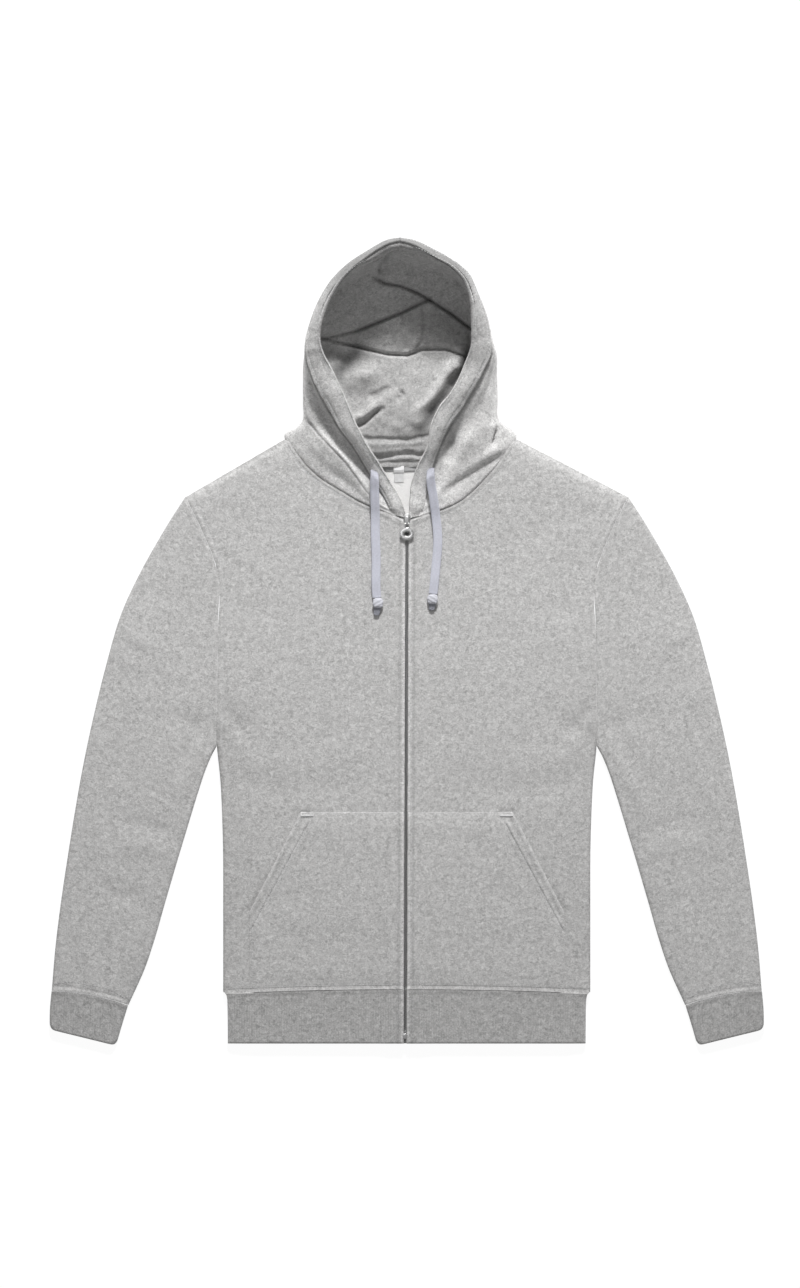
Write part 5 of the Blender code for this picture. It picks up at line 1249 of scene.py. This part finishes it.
def small_label(name, box, height, thick, spec, crown, seed):
    """A small label with folded, rounded edges and a slight curl."""
    x0, x1, y0, y1 = box
    t = even_shares(34, 0.5)
    x, y = np.meshgrid(x0 + (x1 - x0) * t, y0 + (y1 - y0) * t, indexing="ij")
    edge = np.min([x - x0, x1 - x, y - y0, y1 - y], axis=0)
    z = height(y) + crown * (1 - (2 * (x - x0) / (x1 - x0) - 1) ** 2) + 0.12 * noise(x, y, 3, seed)
    add_layer(name, x, y, z + thick * (0.45 + 0.55 * dome(edge, 0.6)), z, spec)


def make_neck_trims():
    x = np.linspace(HOOD_X - TAPE_HALF, HOOD_X + TAPE_HALF, 160)[:, None]
    share = np.linspace(0, 1, 14)
    y = neck_edge_y(x) - 0.3 - TAPE_WIDE * share
    x = x + 0 * share
    high = 3.85 + 0.12 * np.sin(2 * math.pi * (x + 0.6 * y) / 1.6) + 0.2 * noise(x, y, 12, 3)
    high -= 0.35 * dip(np.minimum(share, 1 - share) * TAPE_WIDE, 0.6)
    add_layer("neck_tape_twill", x, y, high, 0 * x + 3.05, NECK_TAPE)
    small_label("neck_label_blank", LABEL, lambda y: 3.5 + 0.9 * ease((y - 199) / 3), 0.6, LABEL_WHITE, 0.35, 1)
    small_label("size_label_blank", SIZE_LABEL, lambda y: 2.95, 0.35, LABEL_GREY, 0.15, 4)


class Surface:
    """Heights of the pieces made so far, as seen from above."""

    def __init__(self, names):
        points, polygons = [], []
        for name in names:
            mesh = bpy.data.objects[name].data
            start = len(points)
            points += [tuple(vertex.co) for vertex in mesh.vertices]
            polygons += [tuple(corner + start for corner in face.vertices) for face in mesh.polygons]
        self.tree = BVHTree.FromPolygons(points, polygons)

    def at(self, x, y):
        hit = self.tree.ray_cast(Vector((x * MM, y * MM, 0.2)), Vector((0, 0, -1)))[0]
        return None if hit is None else hit.z / MM


def stitch(heap, a, b, radius):
    """One stitch: a thread that bulges between the holes it goes into."""
    a, b = np.array(a), np.array(b)
    run = unit(b - a)
    across = unit(np.cross(run, (0, 0, 1)))
    up = np.cross(across, run)
    points = [a - up * radius * 0.5]
    for share in (0.22, 0.78):
        for turn in turns(5):
            points.append(a + (b - a) * share + radius * (across * math.cos(turn) + up * (math.sin(turn) + 0.35)))
    points.append(b - up * radius * 0.5)
    pairs = [(i, (i + 1) % 5) for i in range(5)]
    heap.add(points, [[0, 1 + i, 1 + k] for i, k in pairs] + [[1 + i, 6 + i, 6 + k, 1 + k] for i, k in pairs]
             + [[11, 6 + k, 6 + i] for i, k in pairs])


def sew(heap, surface, line):
    """A row of stitches along a line in plan."""
    total = run_along(line)[-1]
    count = max(1, int(total / STITCH_PITCH))
    starts = (np.arange(count) + 0.5) / count
    a, b = (along(line, starts + sign * STITCH_LENGTH / 2 / total) for sign in (-1, 1))
    for (ax, ay), (bx, by) in zip(a, b):
        za, zb = surface.at(ax, ay), surface.at(bx, by)
        if za is not None and zb is not None and abs(za - zb) < 2:
            stitch(heap, (ax, ay, za), (bx, by, zb), THREAD_RADIUS)


def beside(line, shift):
    """The line moved sideways, to its left for a shift above nought."""
    run = unit(np.gradient(line, axis=0))
    return line + run[:, ::-1] * (-shift, shift)


def make_stitches():
    pieces = ("front_left_cloth", "front_right_cloth", "pocket_left_cloth", "pocket_right_cloth", "hem_band_rib",
              "cuff_left_rib", "cuff_right_rib", "sleeve_left_cloth", "sleeve_right_cloth")
    surface = Surface(pieces)
    heap, tacks = Heap(), Heap()
    share = np.linspace(0, 1, 20)
    for side in (LEFT, RIGHT):
        y = np.linspace(ZIP_TOP_Y - 4, HEM_BOTTOM_Y + 3, 60)
        x = side * np.linspace(16, 210, 50)
        top_x = side * np.linspace(side * zip_x(POCKET_TOP_Y) + 5, POCKET_TOP_X - 1, 30)
        edge_x = side * (POCKET_CORNER[0] - 3)
        cuff = [(415, -402), (394, -399), (371, -402.5), (349, -407), (330, -417.5)]
        slant = along(mirrored(POCKET_STITCH, side), share)
        for line in (beside(neck_curve(side), -side * 6.4)[2:], beside(armhole_curve(side), side * 6.6),
                     np.column_stack([zip_x(y) + side * 8.4, y]), np.column_stack([x, hem_seam_y(x) + 6.2]),
                     np.column_stack([top_x, 0 * top_x + POCKET_TOP_Y - 1.3]), beside(slant, -1.4), beside(slant, 1.6),
                     along([(edge_x, POCKET_CORNER[1] - 3), (edge_x, POCKET_BOTTOM_Y + 3)], share),
                     spline(mirrored(cuff, side), 30) + (0, 2)):
            sew(heap, surface, line)
        # A dense bar of stitches locks the pocket's corner
        for k in range(14):
            x, y = side * (109 + 15 * (k + 0.5) / 14), POCKET_TOP_Y - 4.6
            z = surface.at(x, y) + 0.1
            stitch(tacks, (x - 0.2, y - 1.6, z), (x + 0.2, y + 1.6, z), TACK_RADIUS)
    heap.place("seam_stitches", THREAD)
    tacks.place("pocket_bartacks", TACK_THREAD)
    surface = Surface(["hood_casing_left_cloth", "hood_casing_right_cloth"])
    heap = Heap()
    for side in (LEFT, RIGHT):
        mouth, edge, _ = casing_frame(side)
        for share in (0.15, 0.8):
            sew(heap, surface, (edge + (mouth - edge) * share)[6:, :2])
    heap.place("casing_stitches", THREAD)


# Materials


class Nodes:
    """A new material and short calls that add nodes to it."""

    def __init__(self, name, rough, sheen=0, metal=0, specular=0.3):
        self.material = bpy.data.materials.new(name)
        self.material.use_nodes = True
        self.tree = self.material.node_tree
        self.shader = self.tree.nodes["Principled BSDF"]
        self.fill(self.shader, (("Roughness", rough), ("Sheen Weight", sheen), ("Metallic", metal),
                                ("Specular IOR Level", specular), ("Sheen Roughness", 0.6)))

    def fill(self, node, values):
        """Set a node's inputs to numbers or link them to other nodes' outputs."""
        for key, value in values:
            if isinstance(value, bpy.types.NodeSocket):
                self.tree.links.new(value, node.inputs[key])
            else:
                node.inputs[key].default_value = value

    def node(self, kind, values, operation=None):
        node = self.tree.nodes.new("ShaderNode" + kind)
        if operation:
            node.operation = operation
        self.fill(node, values)
        return node

    def mix(self, kind, first, second):
        return self.node("Math", ((0, first), (1, second)), kind).outputs[0]

    def blend(self, first, share, second, other_share):
        return self.mix("ADD", self.mix("MULTIPLY", first, share), self.mix("MULTIPLY", second, other_share))

    def texture(self, kind, where, scale, stretch=(1, 1, 1), direction=None, **settings):
        """A texture in the cloth's own metres, squeezed or stretched if asked."""
        source = self.node("TexCoord", ()).outputs[where]
        shift = self.node("VectorMath", ((0, source), (1, stretch)), "MULTIPLY")
        node = self.node("Tex" + kind, (("Vector", shift.outputs[0]), ("Scale", scale), *settings.items()))
        if direction:
            node.bands_direction = direction
        return node.outputs["Fac"]

    def ramp(self, value, stops):
        node = self.node("ValToRGB", ((0, value),))
        marks = node.color_ramp.elements
        while len(marks) < len(stops):
            marks.new(0.5)
        for mark, (place, colour) in zip(marks, stops):
            mark.position, mark.color = place, (*colour, 1)
        return node.outputs[0]

    def shaded(self, value, stops):
        """Colours of a ramp, darkened or lightened by the light and shade painted on the mesh."""
        painted_shade = self.node("Attribute", ())
        painted_shade.attribute_name = "shade"
        scaled = self.node("VectorMath", ((0, self.ramp(value, stops)), ("Scale", painted_shade.outputs["Fac"])), "SCALE")
        self.fill(self.shader, (("Base Color", scaled.outputs[0]),))

    def bump(self, value, distance):
        node = self.node("Bump", (("Distance", distance), ("Strength", 1), ("Height", value)))
        self.fill(self.shader, (("Normal", node.outputs[0]),))


def grey(level, tint=(1, 1, 1)):
    return tuple(level * part for part in tint)


def heather(name, slot, level, spread, where="UV", knit=349, relief=0.0005, sheen=0.25):
    """Marled yarn: soft blotches, streaks along the courses and single dark and light fibres."""
    tint = (1, 0.99, 0.98)
    made = Nodes(name, 0.92, sheen=sheen)
    blotch = made.texture("Noise", where, 160, Detail=1, Roughness=0.5, Distortion=0.8)
    streak = made.texture("Noise", where, 300, (0.85, 1, 1), Detail=1, Roughness=0.5, Distortion=1.5)
    fibre = made.texture("Noise", where, 900, Detail=2, Roughness=0.7)
    mixed = made.mix("ADD", made.mix("MULTIPLY", blotch, 0.22), made.blend(streak, 0.48, fibre, 0.3))
    made.shaded(mixed, ((0.3, grey(level - 1.6 * spread, tint)), (0.5, grey(level, tint)),
                        (0.7, grey(level + 1.6 * spread, tint))))
    wales = made.texture("Wave", where, knit, Distortion=1.2, Detail=1)
    pile = made.blend(wales, 0.3, fibre, 0.7)
    made.bump(made.mix("ADD", pile, made.mix("MULTIPLY", blotch, 0.6)), relief)
    return made.material, slot


def woven(name, slot, low, high, pitch, relief, rough=0.8, tint=(1, 1, 1), where="UV"):
    """A fine plain weave or braid, darker between the threads."""
    made = Nodes(name, rough, sheen=0.1)
    across, down = (made.texture("Wave", where, 0.314 / pitch, direction=way, Distortion=0.6) for way in "XY")
    threads = made.mix("MULTIPLY", made.mix("ADD", across, down), 0.5)
    soil = made.texture("Noise", where, 420, Detail=3)
    made.shaded(made.blend(threads, 0.55, soil, 0.45), ((0.25, grey(low, tint)), (0.75, grey(high, tint))))
    made.bump(threads, relief)
    return made.material, slot


def brushed_metal(name, slot, level, rough):
    made = Nodes(name, rough, metal=1, specular=0.5)
    marks = made.texture("Noise", "Object", 900, (0.3, 1, 1), Detail=3)
    made.shaded(marks, ((0.3, grey(level * 0.86)), (0.7, grey(level))))
    uneven = made.mix("ADD", made.mix("MULTIPLY", marks, 0.16), rough - 0.08)
    made.fill(made.shader, (("Roughness", uneven),))
    made.bump(marks, 0.00004)
    return made.material, slot


FLEECE = heather("heather_fleece_body", "heather_fleece", 0.56, 0.15)
FLEECE_SLEEVE = heather("heather_fleece_sleeve", "heather_fleece", 0.555, 0.15)
FLEECE_HOOD = heather("heather_fleece_hood", "heather_fleece", 0.54, 0.15, where="Object")
RIB_CLOTH = heather("heather_rib", "rib_knit", 0.475, 0.14, knit=700, relief=0.0003)
# The lining's fleece is set darker than the outer fleece: painted shade for the inside of the hood.
LINING = heather("heather_lining", "hood_lining_cloth", 0.425, 0.115, where="Object")
BRUSHED = heather("brushed_inside", "heather_fleece", 0.93, 0.03, relief=0.0009, sheen=0.5)
CORD = woven("cord_braid_flat", "cord_braid", 0.5, 0.72, 0.0011, 0.0002, tint=(0.96, 0.975, 1.1))
CORD_END = woven("cord_braid_knot", "cord_braid", 0.54, 0.74, 0.0011, 0.0002, tint=(0.97, 0.98, 1.06))
# The tail's braid is darker than the cord's: painted shade under the knot.
CORD_TAIL = woven("cord_braid_tail", "cord_braid", 0.26, 0.42, 0.0009, 0.0003, tint=(0.95, 0.97, 1.1))
TAPE = woven("zip_tape_weave", "zip_tape_cloth", 0.3, 0.46, 0.0008, 0.0001)
NECK_TAPE = woven("neck_tape_twill", "neck_tape_cloth", 0.34, 0.46, 0.0009, 0.0001)
LABEL_WHITE = woven("label_satin_white", "label_cloth", 0.8, 0.92, 0.0005, 0.00005, rough=0.55)
LABEL_GREY = woven("label_satin_grey", "label_cloth", 0.55, 0.68, 0.0005, 0.00005, rough=0.6)
THREAD = woven("sewing_thread", "heather_fleece", 0.5, 0.66, 0.0006, 0.0001, where="Object")
# The bartack thread is lighter than the seam thread: a painted highlight on the raised bars.
TACK_THREAD = woven("bartack_thread", "heather_fleece", 0.62, 0.72, 0.0006, 0.0001, where="Object")
METAL = brushed_metal("zip_nickel", "zip_metal", 0.66, 0.28)
SLIDER = brushed_metal("zip_slider_nickel", "zip_metal", 0.52, 0.5)
CHAIN = brushed_metal("zip_gunmetal", "zip_chain_metal", 0.56, 0.4)


# Camera, light and floor

CAMERA_LENS = 200
SENSOR = 36
FRAME_TALL = 1.507
FRAME_CENTRE = (-0.0079, -0.0018)
SKY = 0.34
FLOOR_HALF = 30
FLOOR_Z = -0.0003
FLOOR_GLOW = 0.92


def add_object(name, data, place=(0, 0, 0), aim=None):
    made = bpy.data.objects.new(name, data)
    made.location = place
    if aim:
        made.rotation_euler = (Vector(aim) - Vector(place)).to_track_quat("-Z", "Y").to_euler()
    bpy.context.collection.objects.link(made)
    return made


def add_light(name, place, aim, size, power):
    light = bpy.data.lights.new(name, "AREA")
    light.shape, light.size, light.energy = "DISK", size, power
    return add_object(name, light, place, aim)


def make_stage():
    data = bpy.data.cameras.new("camera")
    data.lens, data.sensor_width, data.clip_end = CAMERA_LENS, SENSOR, 90
    scene = bpy.context.scene
    scene.camera = add_object("camera", data, (*FRAME_CENTRE, FRAME_TALL * CAMERA_LENS / SENSOR))
    add_light("key", (0.16, 2.64, 1.46), (0, 0, 0), 0.34, 112)
    # A card for the metal alone
    add_light("metal_card", (-0.6, 0.7, 2.4), (0, 0.1, 0), 1.5, 9).visible_diffuse = False
    scene.world = bpy.data.worlds.new("studio")
    scene.world.use_nodes = True
    background = scene.world.node_tree.nodes["Background"]
    background.inputs["Color"].default_value = (1, 1, 1, 1)
    background.inputs["Strength"].default_value = SKY
    scene.view_settings.view_transform = "Standard"
    made = Nodes("studio_floor", 0.9, specular=0)
    grain = made.ramp(made.texture("Noise", "Object", 40, Detail=2), ((0.2, grey(0.14)), (0.8, grey(0.16))))
    made.fill(made.shader, (("Base Color", grain), ("Emission Color", (1, 1, 1, 1)),
                            ("Emission Strength", FLOOR_GLOW)))
    mesh = bpy.data.meshes.new("floor")
    corners = [(x * FLOOR_HALF, y * FLOOR_HALF, FLOOR_Z) for x, y in ((-1, -1), (1, -1), (1, 1), (-1, 1))]
    mesh.from_pydata(corners, [], [(0, 1, 2, 3)])
    mesh.materials.append(made.material)
    add_object("floor", mesh)


make_stage()
for cord_side, cord_word in SIDES:
    make_cord(cord_side, cord_word)
make_back()
make_fronts()
make_sleeves()
make_cuffs()
make_hem()
make_pockets()
make_casing()
make_hood()
make_lining()
make_zip()
make_slider()
make_pull_tab()
make_neck_trims()
make_stitches()
